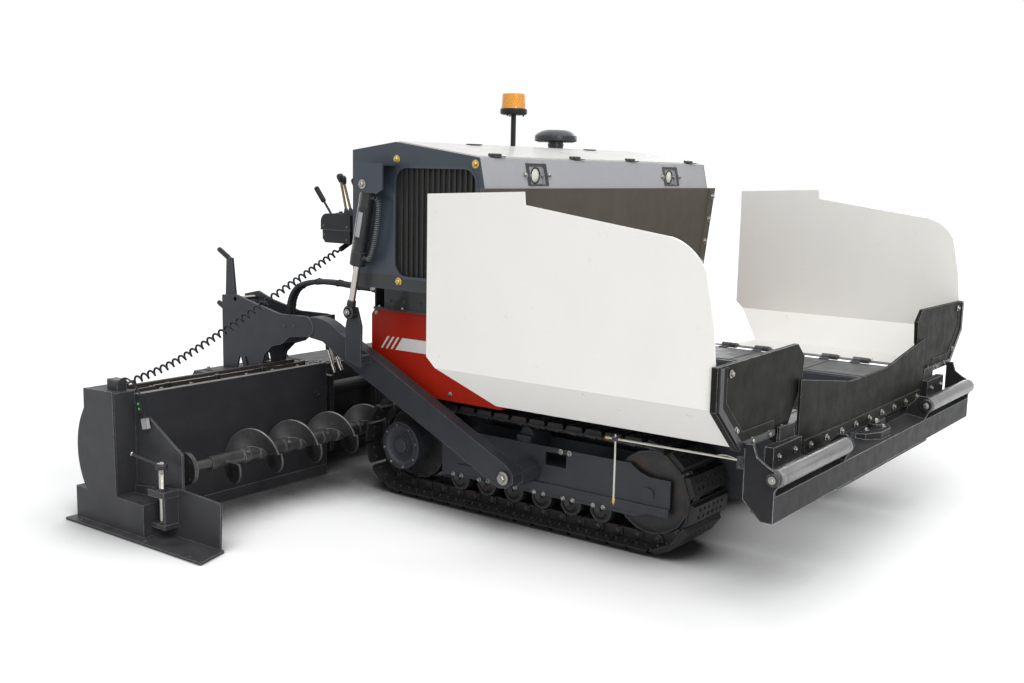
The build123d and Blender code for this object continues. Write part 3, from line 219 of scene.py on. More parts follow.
def makeFloor():
    mesh = bpy.data.meshes.new("floor")
    reach = ground["reach"]
    mesh.from_pydata([(-reach, -reach, 0), (reach, -reach, 0), (reach, reach, 0), (-reach, reach, 0)],
                     [], [(0, 1, 2, 3)])
    floorPlane = bpy.data.objects.new("floor", mesh)
    floorPlane.location.z = -ground["drop"]
    bpy.context.scene.collection.objects.link(floorPlane)
    material = bpy.data.materials.new("paleFloor")
    material.use_nodes = True
    tree = material.node_tree
    tree.nodes.clear()
    # the floor is painted darker where ambient occlusion finds the machine close by: a painted shadow under
    # and around it
    near = tree.nodes.new("ShaderNodeAmbientOcclusion")
    near.samples = ground["samples"]
    near.inputs["Distance"].default_value = ground["near"]
    outsidePaintedShadow = ramp(tree, near.outputs["AO"], *ground["paintedShadowRamp"])
    diffuse = tree.nodes.new("ShaderNodeBsdfDiffuse")
    tree.links.new(mixColour(tree, outsidePaintedShadow, (ground["dark"],) * 3, (ground["pale"],) * 3),
                   diffuse.inputs["Color"])
    away = tree.nodes.new("ShaderNodeVectorMath")
    away.operation = "LENGTH"
    tree.links.new(tree.nodes.new("ShaderNodeNewGeometry").outputs["Position"], away.inputs[0])
    # the glow is dimmed in the painted shadow as well
    strength = calc(tree, "MULTIPLY", ramp(tree, away.outputs["Value"], *ground["glow"]), outsidePaintedShadow)
    glow = tree.nodes.new("ShaderNodeEmission")
    tree.links.new(calc(tree, "MULTIPLY", strength, seenRays(tree)), glow.inputs["Strength"])
    both = tree.nodes.new("ShaderNodeAddShader")
    out = tree.nodes.new("ShaderNodeOutputMaterial")
    tree.links.new(diffuse.outputs[0], both.inputs[0])
    tree.links.new(glow.outputs[0], both.inputs[1])
    tree.links.new(both.outputs[0], out.inputs["Surface"])
    mesh.materials.append(material)


makeCamera()
makeLamps()
makeWorld()
makeFloor()
bpy.context.scene.view_settings.view_transform = "Standard"
print("camera, lamps and floor")


# Mesh helpers

def span(sign, near, far):
    # from near to far out on one side, the lower value first
    return sorted((sign * near, sign * far))


def addBox(bm, x0, x1, y0, y1, z0, z1, bevel=0.0):
    made = bmesh.ops.create_cube(bm, size=1)["verts"]
    for vert in made:
        vert.co = Vector((x0 + (vert.co.x + 0.5) * (x1 - x0), y0 + (vert.co.y + 0.5) * (y1 - y0),
                          z0 + (vert.co.z + 0.5) * (z1 - z0)))
    if bevel:
        edges = {edge for vert in made for edge in vert.link_edges}
        bmesh.ops.bevel(bm, geom=list(edges), offset=bevel, segments=2, affect="EDGES")


def joinRings(bm, rings, closed=False):
    # faces from each ring of corners to the next; a ring may be a single point
    for ring, other in zip(rings, rings[1:] + rings[:1] if closed else rings[1:]):
        for index in range(max(len(ring), len(other))):
            corners = (ring[index % len(ring)], ring[(index + 1) % len(ring)],
                       other[(index + 1) % len(other)], other[index % len(other)])
            bm.faces.new(list(dict.fromkeys(corners)))


def addSkin(bm, places, closed=False):
    # a body from rings of places, with a face on each end unless the last ring meets the first
    rings = [[bm.verts.new(place) for place in ring] for ring in places]
    joinRings(bm, rings, closed)
    if not closed:
        for ring in (rings[0][::-1], rings[-1]):
            if len(ring) > 1:
                bm.faces.new(ring)


def frameOf(direction):
    ahead = Vector(direction).normalized()
    helper = Vector(upward) if abs(ahead.z) < 0.9 else Vector(forward)
    across = helper.cross(ahead).normalized()
    return across, ahead.cross(across), ahead


def carried(across, direction):
    # the sideways direction kept without twist, and up from it
    ahead = direction.normalized()
    across = frameOf(ahead)[0] if across is None else (across - ahead * across.dot(ahead)).normalized()
    return across, ahead.cross(across)


def circle(centre, across, up, radius, segments):
    return [centre + (across * cos(turn) + up * sin(turn)) * radius
            for turn in (2 * pi * step / segments for step in range(segments))]


def spoke(turn):
    # outward in the X-Z plane
    return Vector((cos(turn), 0, sin(turn)))


def addTurned(bm, start, direction, profile, segments, closed=False):
    # profile is (distance along the axis, radius); closed joins its last point to its first
    across, up, ahead = frameOf(direction)
    rings = []
    for reach, radius in profile:
        centre = Vector(start) + ahead * reach
        rings.append(circle(centre, across, up, radius, segments) if radius else [centre])
    addSkin(bm, rings, closed)


def addRing(bm, start, direction, profile, segments):
    # a closed section turned all the way round
    addTurned(bm, start, direction, profile, segments, True)


def addRod(bm, start, end, radius, segments):
    run = Vector(end) - Vector(start)
    addTurned(bm, start, run, [(0, radius), (run.length, radius)], segments)


def addTube(bm, points, radius, segments, closed=False):
    # a round tube along many points, its section carried without twist
    places = [Vector(point) for point in points]
    last = len(places) - 1
    rings, across = [], None
    for index, place in enumerate(places):
        before = places[index - 1] if index or closed else place
        after = places[(index + 1) % (last + 1)] if index < last or closed else place
        across, up = carried(across, after - before)
        rings.append(circle(place, across, up, radius, segments))
    addSkin(bm, rings, closed)


def cornerAt(axis, a, b, level):
    # axis x takes (y, z), y takes (x, z) and z takes (x, y)
    return {"x": (level, a, b), "y": (a, level, b), "z": (a, b, level)}[axis]


def addPlate(bm, outline, low, high, axis):
    # a flat plate square to the axis
    addSkin(bm, [[cornerAt(axis, a, b, level) for a, b in outline] for level in (high, low)])


def addLoopPlate(bm, outer, inner, low, high, axis):
    # a plate with one opening; both outlines have as many corners
    addSkin(bm, [[cornerAt(axis, a, b, level) for a, b in outline]
                 for outline, level in ((outer, low), (outer, high), (inner, high), (inner, low))], True)


boltShape = {  # sides, then distances and radii as shares of the width across the corners
    "washer": (16, ((0, 0.78), (0.10, 0.78), (0.14, 0.70))),
    "head": (6, ((0.12, 0.50), (0.46, 0.50), (0.54, 0.42))),
    "thread": (10, ((0.52, 0.22), (0.64, 0.20))),
}


def addBolt(bm, place, normal, size, washer=True):
    for part, (segments, profile) in boltShape.items():
        if washer or part != "washer":
            scaled = [(reach * size, radius * size) for reach, radius in profile]
            addTurned(bm, place, normal, scaled, segments)


def bowed(start, first, second, end, steps=24):
    # points of a smooth curve between two ends, pulled toward two corners
    a, b, c, d = Vector(start), Vector(first), Vector(second), Vector(end)
    points = []
    for step in range(steps + 1):
        t = step / steps
        points.append(a * (1 - t) ** 3 + b * 3 * t * (1 - t) ** 2 + c * 3 * t * t * (1 - t) + d * t ** 3)
    return points


def walk(points, count):
    # evenly spaced places along a line of points, each with its direction and distance
    reach = [0.0]
    for first, second in zip(points, points[1:]):
        reach.append(reach[-1] + (second - first).length)
    whole, index, found = reach[-1], 0, []
    for step in range(count + 1):
        want = whole * step / count
        while index < len(points) - 2 and reach[index + 1] < want:
            index += 1
        first, second = points[index], points[index + 1]
        share = (want - reach[index]) / (reach[index + 1] - reach[index])
        found.append((first.lerp(second, share), (second - first).normalized(), want))
    return found, whole


def lengthOf(points):
    return sum((second - first).length for first, second in zip(points, points[1:]))


def mergeInto(bm, part):
    mesh = bpy.data.meshes.new("part")
    part.to_mesh(mesh)
    part.free()
    bm.from_mesh(mesh)
    bpy.data.meshes.remove(mesh)


def makePiece(name, bm, finish, body, smooth=35):
    bmesh.ops.recalc_face_normals(bm, faces=bm.faces)
    mesh = bpy.data.meshes.new(name)
    bm.to_mesh(mesh)
    bm.free()
    mesh.materials.append(paint[finish])
    if smooth:
        mesh.shade_smooth()
        mesh.set_sharp_from_angle(angle=radians(smooth))
    piece = bpy.data.objects.new(name, mesh)
    bpy.context.scene.collection.objects.link(piece)
    if isinstance(body, tuple):  # two bodies and where the turn between them starts and ends
        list(body)
        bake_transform(piece)
    else:
        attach(piece, body)
    return piece


# Materials

def shaded(tree, base, mask, darkest):
    # the base colour, darker where the mask is low
    tint = mixColour(tree, mask, (darkest,) * 3, (1.0, 1.0, 1.0))
    return mixColour(tree, 1.0, base, tint, "MULTIPLY")


def dustMask(tree, place, height, normal):
    # on what faces up and what is near the ground, in patches
    lying = ramp(tree, split(tree, normal)["z"], 0.3, 0.95)
    low = ramp(tree, height, 0.75, 0.05, 0.0, 0.55)
    patches = ramp(tree, noise(tree, place, 7, 6, 0.62), 0.32, 0.72)
    return calc(tree, "MULTIPLY", calc(tree, "MAXIMUM", lying, low), patches)


def edgeMask(tree, place, normal, width):
    # along the sharp edges, broken up
    bevel = tree.nodes.new("ShaderNodeBevel")
    bevel.samples = 4
    bevel.inputs["Radius"].default_value = width
    turn = tree.nodes.new("ShaderNodeVectorMath")
    turn.operation = "DOT_PRODUCT"
    tree.links.new(bevel.outputs[0], turn.inputs[0])
    tree.links.new(normal, turn.inputs[1])
    edge = ramp(tree, turn.outputs["Value"], 0.985, 0.86)
    return calc(tree, "MULTIPLY", edge, ramp(tree, noise(tree, place, 34, 5, 0.7), 0.34, 0.56, 0.25, 1.0))


def bumpOf(tree, height, strength, distance):
    bump = tree.nodes.new("ShaderNodeBump")
    for socket, value in (("Height", height), ("Strength", strength), ("Distance", distance)):
        feed(tree, value, bump.inputs[socket])
    return bump


def makeFinish(name, colour, rough=0.45, metal=0.0, shade=0.86, patch=2.2, speck=0.06, dust=0.0,
               dustColour=(0.36, 0.34, 0.31), wear=0.0, wearColour=(0.34, 0.34, 0.34), wearWidth=0.004,
               streak=None, streakColour=(0.3, 0.3, 0.3), streakAmount=0.0, grain=0.12, grainScale=420,
               wave=0.0, coat=0.0, glow=0.0, zones=(), rust=0.0, shine=0.5):
    material = bpy.data.materials.new(name)
    material.use_nodes = True
    tree = material.node_tree
    shader = tree.nodes["Principled BSDF"]
    place = tree.nodes.new("ShaderNodeTexCoord").outputs["Object"]
    normal = tree.nodes.new("ShaderNodeNewGeometry").outputs["Normal"]
    axes = split(tree, place)
    base, metallic = colour, metal
    for limits, zoneColour in zones:
        base = mixColour(tree, within(tree, axes, limits), base, zoneColour)
    base = shaded(tree, base, ramp(tree, noise(tree, place, patch, 5, 0.6), 0.3, 0.7), shade)
    base = shaded(tree, base, ramp(tree, noise(tree, place, 70, 3, 0.7), 0.35, 0.65), 1 - speck)
    if streak:
        lines = ramp(tree, noise(tree, place, 1.0, 3, 0.65, streak), 0.5, 0.72)
        base = mixColour(tree, calc(tree, "MULTIPLY", lines, streakAmount), base, streakColour)
    if rust:
        marks = ramp(tree, noise(tree, place, 9, 7, 0.7), 0.52, 0.66)
        base = mixColour(tree, calc(tree, "MULTIPLY", marks, rust), base, (0.13, 0.06, 0.03))
    if dust:
        cover = dustMask(tree, place, axes["z"], normal)
        base = mixColour(tree, calc(tree, "MULTIPLY", cover, dust), base, dustColour)
    if wear:
        edge = calc(tree, "MULTIPLY", edgeMask(tree, place, normal, wearWidth), wear)
        base = mixColour(tree, edge, base, wearColour)
        metallic = calc(tree, "ADD", calc(tree, "MULTIPLY", edge, 0.6 * (1 - metal)), metal)
    roughness = ramp(tree, noise(tree, place, 14, 5, 0.6), 0.3, 0.7, max(rough - 0.09, 0.03), rough + 0.09)
    bump = bumpOf(tree, noise(tree, place, grainScale, 3, 0.6), grain, 0.0008)
    if wave:
        swell = bumpOf(tree, noise(tree, place, 3.5, 2, 0.4), wave, 0.004)
        tree.links.new(swell.outputs[0], bump.inputs["Normal"])
    if glow:
        feed(tree, colour, shader.inputs["Emission Color"])
    for socket, value in (("Base Color", base), ("Roughness", roughness), ("Metallic", metallic),
                          ("Coat Weight", coat), ("Specular IOR Level", shine),
                          ("Emission Strength", glow), ("Normal", bump.outputs[0])):
        feed(tree, value, shader.inputs[socket])
    return material


knuckleZone = ((("out", 0.90, 0.995), ("z", 0.68, 0.75)), (0.05, 0.05, 0.052))
hoodZones = (
    ((("x", 0.3945, 0.6), ("out", 0, 1.094)), (0.40, 0.40, 0.42)),
    ((("out", 1.0935, 1.3),), (0.040, 0.052, 0.070)),
    ((("z", 1.0, 1.19), ("out", 1.0935, 1.3)), (0.026, 0.031, 0.034)),
    ((("x", -0.5, -0.4085), ("out", 0, 1.094)), (0.05, 0.062, 0.082)),
    ((("z", 1.0, 1.135),), (0.03, 0.035, 0.042)),
)
railZones = (
    ((("z", 0.6035, 0.70), ("x", -1.17, -1.12)), (0.060, 0.054, 0.046)),
    ((("z", 0.6035, 0.70), ("x", -1.07, -1.03)), (0.056, 0.050, 0.044)),
    ((("z", 0.6035, 0.70), ("x", -0.97, -0.93)), (0.056, 0.050, 0.044)),
    ((("z", 0.6350, 0.70), ("x", -0.885, -0.86)), (0.42, 0.42, 0.41)),
)
finishes = {
    "wingWhite": dict(colour=(0.86, 0.845, 0.805), rough=0.36, shade=0.965, patch=1.3, speck=0.015, coat=0.25,
                      grain=0.05, wave=0.10, wear=0.35, wearColour=(0.42, 0.41, 0.39), wearWidth=0.003,
                      zones=(knuckleZone,), streak=(2, 2, 0.35), streakColour=(0.62, 0.60, 0.56),
                      streakAmount=0.10),
    "hoodPaint": dict(colour=(0.44, 0.44, 0.425), rough=0.4, shade=0.9, coat=0.05, grain=0.06, wave=0.12,
                      wear=0.3, wearColour=(0.16, 0.17, 0.18), zones=hoodZones, dust=0.12, shine=0.4),
    "lidWhite": dict(colour=(0.70, 0.70, 0.675), rough=0.42, shade=0.93, speck=0.03, coat=0.15, grain=0.06,
                     wave=0.15, wear=0.5, wearColour=(0.2, 0.2, 0.2), dust=0.15),
    "grilleBlack": dict(colour=(0.020, 0.022, 0.024), rough=0.5, shade=0.8, grain=0.15,
                        wear=0.5, wearColour=(0.16, 0.13, 0.09), wearWidth=0.003,
                        zones=(((("out", 1.02, 1.0795),), (0.030, 0.033, 0.030)),), shine=0.3),
    "chassisRed": dict(colour=(0.47, 0.020, 0.007), rough=0.36, shade=0.82, grain=0.06, wave=0.1,
                       wear=0.5, wearColour=(0.26, 0.08, 0.05), dust=0.03, shine=0.15),
    "screedDark": dict(colour=(0.043, 0.044, 0.049), rough=0.46, shade=0.74, speck=0.10, grain=0.14,
                       wave=0.12, wear=0.9, wearColour=(0.40, 0.39, 0.38), wearWidth=0.0035, dust=0.22,
                       dustColour=(0.17, 0.16, 0.15), streak=(3, 3, 0.5), streakColour=(0.07, 0.07, 0.075),
                       streakAmount=0.35, shine=0.25),
    "railDark": dict(colour=(0.034, 0.035, 0.040), rough=0.46, shade=0.74, speck=0.10, grain=0.14, wave=0.10,
                     wear=0.9, wearColour=(0.40, 0.39, 0.38), wearWidth=0.0035, zones=railZones, rust=0.04,
                     dust=0.15, dustColour=(0.17, 0.16, 0.15), streak=(3, 0.5, 3),
                     streakColour=(0.055, 0.056, 0.062), streakAmount=0.3, shine=0.22),
    "armDark": dict(colour=(0.040, 0.043, 0.052), rough=0.42, shade=0.8, speck=0.08, grain=0.12, wave=0.1,
                    wear=0.85, wearColour=(0.36, 0.36, 0.37), wearWidth=0.0035, dust=0.12,
                    dustColour=(0.2, 0.2, 0.19), shine=0.25),
    "frameGrey": dict(colour=(0.056, 0.062, 0.073), rough=0.5, shade=0.75, speck=0.12, grain=0.16, wave=0.1,
                      wear=0.5, wearColour=(0.24, 0.25, 0.27), dust=0.28, dustColour=(0.14, 0.135, 0.13),
                      shine=0.3),
    "trackBlack": dict(colour=(0.017, 0.017, 0.018), rough=0.6, shade=0.7, speck=0.2, grain=0.35,
                       grainScale=260, wear=0.4, wearColour=(0.07, 0.07, 0.07), dust=0.25,
                       dustColour=(0.065, 0.062, 0.058), shine=0.4),
    "linkSteel": dict(colour=(0.045, 0.045, 0.047), rough=0.48, metal=0.4, shade=0.6, speck=0.25, grain=0.3,
                      wear=0.8, wearColour=(0.22, 0.21, 0.2), dust=0.3, dustColour=(0.09, 0.085, 0.08),
                      rust=0.4),
    "gateOlive": dict(colour=(0.016, 0.016, 0.014), rough=0.48, shade=0.84, grain=0.10, wave=0.16, wear=0.9,
                      wearColour=(0.46, 0.45, 0.42), wearWidth=0.003, streak=(5, 5, 0.6),
                      streakColour=(0.028, 0.028, 0.025), streakAmount=0.5, shine=0.06),
    "bumperGrey": dict(colour=(0.026, 0.026, 0.028), rough=0.42, shade=0.8, speck=0.08, grain=0.12,
                       wave=0.1, wear=1.0, wearColour=(0.55, 0.55, 0.55), wearWidth=0.005,
                       streak=(0.6, 0.6, 6), streakColour=(0.042, 0.042, 0.042), streakAmount=0.35, dust=0.1,
                       dustColour=(0.3, 0.3, 0.29), shine=0.08),
    "floorSteel": dict(colour=(0.10, 0.105, 0.115), rough=0.42, metal=0.3, shade=0.8, speck=0.1, grain=0.14,
                       wear=0.7, wearColour=(0.4, 0.4, 0.39), dust=0.15, dustColour=(0.2, 0.2, 0.2),
                       streak=(0.6, 5, 5), streakColour=(0.22, 0.22, 0.23), streakAmount=0.5, shine=0.35),
    "wallBrown": dict(colour=(0.092, 0.079, 0.062), rough=0.5, shade=0.86, speck=0.05, grain=0.12, wave=0.12,
                      wear=0.5, wearColour=(0.3, 0.28, 0.25), streak=(4, 4, 0.5),
                      streakColour=(0.125, 0.112, 0.092), streakAmount=0.3, shine=0.2),
    "wornSteel": dict(colour=(0.50, 0.50, 0.49), rough=0.34, metal=0.9, shade=0.55, patch=7, speck=0.2,
                      grain=0.25, grainScale=180, streak=(0.5, 14, 14), streakColour=(0.16, 0.15, 0.14),
                      streakAmount=0.55),
    # pale streaks along the roller's axis are painted highlights; the darker random tone is worn steel
    "rollerSteel": dict(colour=(0.24, 0.24, 0.245), rough=0.3, metal=0.85, shade=0.6, patch=7, speck=0.15,
                        grain=0.2, grainScale=180, streak=(14, 0.5, 14), streakColour=(0.55, 0.55, 0.54),
                        streakAmount=0.35),
    "darkBolt": dict(colour=(0.10, 0.10, 0.105), rough=0.4, metal=0.5, shade=0.7, patch=40, speck=0.1,
                     grain=0.1),
    "augerSteel": dict(colour=(0.12, 0.12, 0.122), rough=0.42, metal=0.6, shade=0.5, patch=6, speck=0.25,
                       grain=0.4, grainScale=160, wear=0.9, wearColour=(0.5, 0.5, 0.5), wearWidth=0.006,
                       rust=0.12),
    "zincBolt": dict(colour=(0.40, 0.39, 0.36), rough=0.3, metal=0.95, shade=0.7, patch=40, speck=0.1,
                     grain=0.1),
    "yellowZinc": dict(colour=(0.66, 0.47, 0.16), rough=0.3, metal=0.9, shade=0.7, patch=40, grain=0.1),
    "chrome": dict(colour=(0.52, 0.50, 0.46), rough=0.14, metal=1.0, shade=0.85, patch=12, speck=0.04,
                   grain=0.03, streak=(1, 1, 9), streakColour=(0.34, 0.31, 0.27), streakAmount=0.3),
    "leverBronze": dict(colour=(0.22, 0.165, 0.085), rough=0.35, metal=0.7, shade=0.7, patch=30, grain=0.1),
    "brass": dict(colour=(0.62, 0.44, 0.17), rough=0.32, metal=0.9, shade=0.7, patch=30, grain=0.1),
    "blackPlastic": dict(colour=(0.014, 0.016, 0.019), rough=0.44, shade=0.85, speck=0.05, grain=0.3,
                         grainScale=700, wear=0.4, wearColour=(0.09, 0.1, 0.11), dust=0.1,
                         dustColour=(0.16, 0.16, 0.16), shine=0.25),
    "blackPaint": dict(colour=(0.020, 0.021, 0.023), rough=0.38, shade=0.8, grain=0.1, coat=0.2, wear=0.7,
                       wearColour=(0.18, 0.18, 0.18), dust=0.12, dustColour=(0.14, 0.14, 0.14), shine=0.3),
    "hoseRubber": dict(colour=(0.020, 0.023, 0.028), rough=0.42, shade=0.8, patch=20, speck=0.1, grain=0.4,
                       grainScale=900, shine=0.3),
    "spiralGuard": dict(colour=(0.20, 0.23, 0.22), rough=0.4, shade=0.7, patch=20, speck=0.1, grain=0.2),
    "engineIron": dict(colour=(0.07, 0.07, 0.072), rough=0.55, shade=0.7, grain=0.4, grainScale=200,
                       dust=0.2, dustColour=(0.14, 0.13, 0.12)),
    "amber": dict(colour=(0.74, 0.30, 0.02), rough=0.22, shade=0.93, speck=0.02, grain=0.03, coat=0.5,
                  glow=0.06),
    "lampLens": dict(colour=(0.86, 0.87, 0.76), rough=0.16, shade=0.8, patch=30, speck=0.1, grain=0.05,
                     coat=0.8),
    "blankWhite": dict(colour=(0.80, 0.79, 0.77), rough=0.34, shade=0.94, speck=0.03, grain=0.04, coat=0.2),
    "greenLight": dict(colour=(0.02, 0.45, 0.10), rough=0.25, shade=0.9, speck=0.05, grain=0.05, glow=0.25),
    "hoodDark": dict(colour=(0.045, 0.058, 0.078), rough=0.4, shade=0.85, coat=0.2, grain=0.06, wave=0.1,
                     wear=0.5, wearColour=(0.16, 0.17, 0.18), shine=0.35),
    "bandGrey": dict(colour=(0.40, 0.40, 0.415), rough=0.4, shade=0.85, patch=12, coat=0.1, grain=0.06,
                     wear=0.6, wearColour=(0.12, 0.12, 0.12)),
    "cleanerBlack": dict(colour=(0.034, 0.037, 0.044), rough=0.34, shade=0.85, patch=8, speck=0.05,
                         grain=0.15, coat=0.2, dust=0.3, dustColour=(0.22, 0.23, 0.25), shine=0.3),
    "treadPlate": dict(colour=(0.085, 0.086, 0.090), rough=0.38, metal=0.4, shade=0.7, speck=0.1, grain=0.2),
    "weld": dict(colour=(0.075, 0.078, 0.085), rough=0.4, metal=0.2, shade=0.7, patch=60, speck=0.2,
                 grain=0.8, grainScale=120),
}
paint = {name: makeFinish(name, **entry) for name, entry in finishes.items()}

nodeFinish = {
    "track_frame": "frameGrey", "side_box": "chassisRed", "wing": "wingWhite", "wing_gate": "gateOlive",
    "push_roller": "rollerSteel", "grille": "grilleBlack", "lid": "lidWhite", "console": "blackPlastic",
    "tow_arm": "armDark", "extension": "railDark", "end_gate": "screedDark", "main_frame": "frameGrey",
    "deck": "blackPaint", "hopper_floor": "floorSteel", "hopper_rear_wall": "wallBrown",
    "conveyor": "wornSteel", "apron": "gateOlive", "bumper": "bumperGrey", "hood": "hoodPaint",
    "engine_block": "engineIron", "beacon": "blackPlastic", "pre_cleaner": "blackPlastic",
    "guide_rod": "chrome", "screed_body": "screedDark", "track": "trackBlack", "auger": "augerSteel",
    "lift_barrel": "blackPaint", "lift_rod": "chrome", "coiled_cable": "hoseRubber",
    "hose_bundle": "hoseRubber",
}
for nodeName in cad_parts:
    plain = nodeName.split("_", 1)[1] if nodeName.split("_", 1)[0] in ("left", "right") else nodeName
    node = bpy.data.objects[nodeName]
    for entry in node.material_slots:
        entry.material = paint[nodeFinish[plain]]
print("finishes on", len(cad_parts), "nodes")


# Cords

cable = {
    "route": ((-0.702, -0.900, 1.276), (-0.728, -1.015, 1.206), (-0.780, -1.200, 1.094),
              (-0.822, -1.385, 0.985), (-0.850, -1.580, 0.882), (-0.878, -1.770, 0.785),
              (-0.902, -1.930, 0.722), (-0.925, -2.080, 0.684)),
    "coil": 0.0152,
    "wire": 0.0055,
    "turns": 36,
    "stepsPerTurn": 18,
    "uneven": ((0.010, 2 * pi), (0.004, 9)),  # how much, how often: turns lie closer and wider apart
    "lead": 0.026,  # straight piece at each end
    "share": 0.62,  # of the cable, up to where it follows the extension and not the lift
}


def splinePoints(route):
    # a smooth line that starts and ends on the first and last point of the route
    curve = bpy.data.curves.new("guide", "CURVE")
    curve.dimensions = "3D"
    curve.resolution_u = 24
    spline = curve.splines.new("NURBS")
    spline.points.add(len(route) - 1)
    for point, place in zip(spline.points, route):
        point.co = (*place, 1)
    spline.order_u = 3
    spline.use_endpoint_u = True
    guide = bpy.data.objects.new("guide", curve)
    mesh = bpy.data.meshes.new_from_object(guide)
    points = [vert.co.copy() for vert in mesh.vertices]
    bpy.data.meshes.remove(mesh)
    bpy.data.objects.remove(guide)
    return points


def cableHelix():
    places, whole = walk(splinePoints(cable["route"]), cable["turns"] * cable["stepsPerTurn"])
    helix, across = [], None
    for place, ahead, reach in places:
        across, up = carried(across, ahead)
        share = (reach - cable["lead"]) / (whole - 2 * cable["lead"])
        share = min(max(share, 0), 1)
        opening = min(reach, whole - reach) / cable["lead"]
        coil = cable["coil"] * min(1.0, max(0.0, opening - 0.25))
        turn = 2 * pi * cable["turns"] * (share + sum(much * sin(often * share)
                                                      for much, often in cable["uneven"]))
        helix.append(place + (across * cos(turn) + up * sin(turn)) * coil)
    return helix


def cableEnds(helix):
    ends = []
    for name, body, start, ahead in (
            ("cableRelief", "tractor", helix[0], helix[0] - helix[1]),
            ("cablePlug", "right_extension", helix[-1], helix[-1] - helix[-2])):
        bm = bmesh.new()
        way = ahead.normalized()
        addTurned(bm, start - way * 0.006, way, [(0, 0.0054), (0.012, 0.0072), (0.022, 0.0098),
                                                 (0.0225, 0.0136), (0.036, 0.0136)], 14)
        for ring in range(3):
            radius = 0.0066 + 0.001 * ring
            addTurned(bm, start + way * (0.001 + 0.004 * ring), way,
                      [(0, radius), (0.0015, radius + 0.0006)], 14)
        ends.append(makePiece(name, bm, "blackPlastic", body))
    return ends


def makeCable():
    helix = cableHelix()
    relief, plug = cableEnds(helix)
    half = int(len(helix) * cable["share"])
    shares = (
        ("coiledCable", helix[:half + 1], ("tractor", "screed"), helix[0], "object", [relief]),
        ("coiledCableEnd", helix[half:], ("screed", "right_extension"), helix[half], "connector", [plug]),
    )
    for name, line, bodies, exit, farEnd, ends in shares:
        bm = bmesh.new()
        addTube(bm, line, cable["wire"], 8)
        coiled = makePiece(name, bm, "hoseRubber", (*bodies, line[0], line[-1]))
        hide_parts("coiled_cable")
        length = lengthOf(line)
        tuple(exit)
        [tuple(point) for point in line]
        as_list(ends)
        print(name, "metres:", round(length, 3))


hoses = {
    "centre": ((-0.4123, -0.900, 1.085), (-0.560, -0.900, 1.085), (-0.720, -0.915, 1.100),
               (-0.870, -0.930, 1.096), (-0.985, -0.938, 1.062), (-1.038, -0.942, 0.985),
               (-1.045, -0.942, 0.890), (-1.045, -0.942, 0.800)),
    "spacing": 0.032,
    "radius": 0.014,
    "ties": (0.16, 0.33, 0.5, 0.66, 0.82),
    "sleeve": [(0, 0.0165), (0.006, 0.0175), (0.034, 0.0172), (0.040, 0.0150)],
    "nut": [(0.001, 0.0205), (0.013, 0.0205)],
}


def hoseFerrules(number, points):
    ferrules = []
    for letter, end, other, body in (("A", 0, 3, "tractor"), ("B", -1, -4, "screed")):
        bm = bmesh.new()
        way = points[other] - points[end]
        addTurned(bm, points[end], way, hoses["sleeve"], 20)
        addTurned(bm, points[end], way, hoses["nut"], 6)
        ferrules.append(makePiece("hoseFerrule%d%s" % (number, letter), bm, "zincBolt", body))
    return ferrules


def makeHoses():
    lines = []
    for number, shift in ((1, -0.5), (2, 0.5)):
        points = splinePoints([(x, y + shift * hoses["spacing"], z) for x, y, z in hoses["centre"]])
        lines.append(points)
        bm = bmesh.new()
        addTube(bm, points, hoses["radius"], 16)
        hose = makePiece("pressureHose" + str(number), bm, "hoseRubber",
                         ("tractor", "screed", points[0], points[-1]), 40)
        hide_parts("hose_bundle")
        length = lengthOf(points)
        ferrules = hoseFerrules(number, points)
        tuple(points[0])
        [tuple(point) for point in points]
        print("hose, metres:", round(length, 3))
    makeHoseTies(*lines)


def makeHoseTies(lower, upper):
    # a band round both hoses, with its lock on top
    bm = bmesh.new()
    places, _ = walk([first.lerp(second, 0.5) for first, second in zip(lower, upper)], 100)
    half, reach = hoses["spacing"] / 2, hoses["radius"] + 0.0015
    for share in hoses["ties"]:
        place, ahead, _ = places[int(share * 100)]
        side = Vector(leftward)
        up = ahead.cross(side).normalized()
        band = []
        for shift, first in ((half, -90), (-half, 90)):
            for turn in (radians(first + 18 * step) for step in range(11)):
                band.append(place + side * (shift + cos(turn) * reach) + up * sin(turn) * reach)
        addTube(bm, band, 0.0018, 6, closed=True)
        addBox(bm, place.x - 0.004, place.x + 0.004, place.y - 0.005, place.y + 0.005,
               place.z + reach, place.z + reach + 0.005)
    ends = [lower[end].lerp(upper[end], 0.5) for end in (0, -1)]
    makePiece("hoseTies", bm, "blackPlastic", ("tractor", "screed", *ends))


makeCable()
makeHoses()
print("cords")


# Tracks

track = {
    "rear": -0.270,
    "front": 1.190,
    "axle": 0.268,
    "inner": 0.537,
    "outer": 0.893,
    "pins": 0.218,  # radius of the pin line
    "plate": 0.2385,
    "tread": 0.2662,
    "count": 40,
    "pin": [(0, 0.010), (0.001, 0.012), (0.018, 0.012), (0.019, 0.0175), (0.147, 0.0175), (0.148, 0.012),
            (0.165, 0.012), (0.166, 0.010)],
    "bolt": [(0, 0.0095), (0.009, 0.0095), (0.011, 0.0075)],
}


def alongTrack(share):
    # place of the pin line, with the direction of travel and outward: the run on the ground and the
    # front bend, then the same two turned half round
    run, radius = track["front"] - track["rear"], track["pins"]
    half, rest = divmod(2 * (share % 1.0), 1)
    reach = rest * (run + pi * radius)
    sign = -1 if half else 1
    centre = (track["front"] + track["rear"] + sign * run) / 2
    out = spoke(-pi / 2 + max(0.0, reach - run) / radius) * sign
    return (centre + sign * min(0.0, reach - run) + out.x * radius, track["axle"] + out.z * radius,
            Vector((-out.z, 0, out.x)), out)


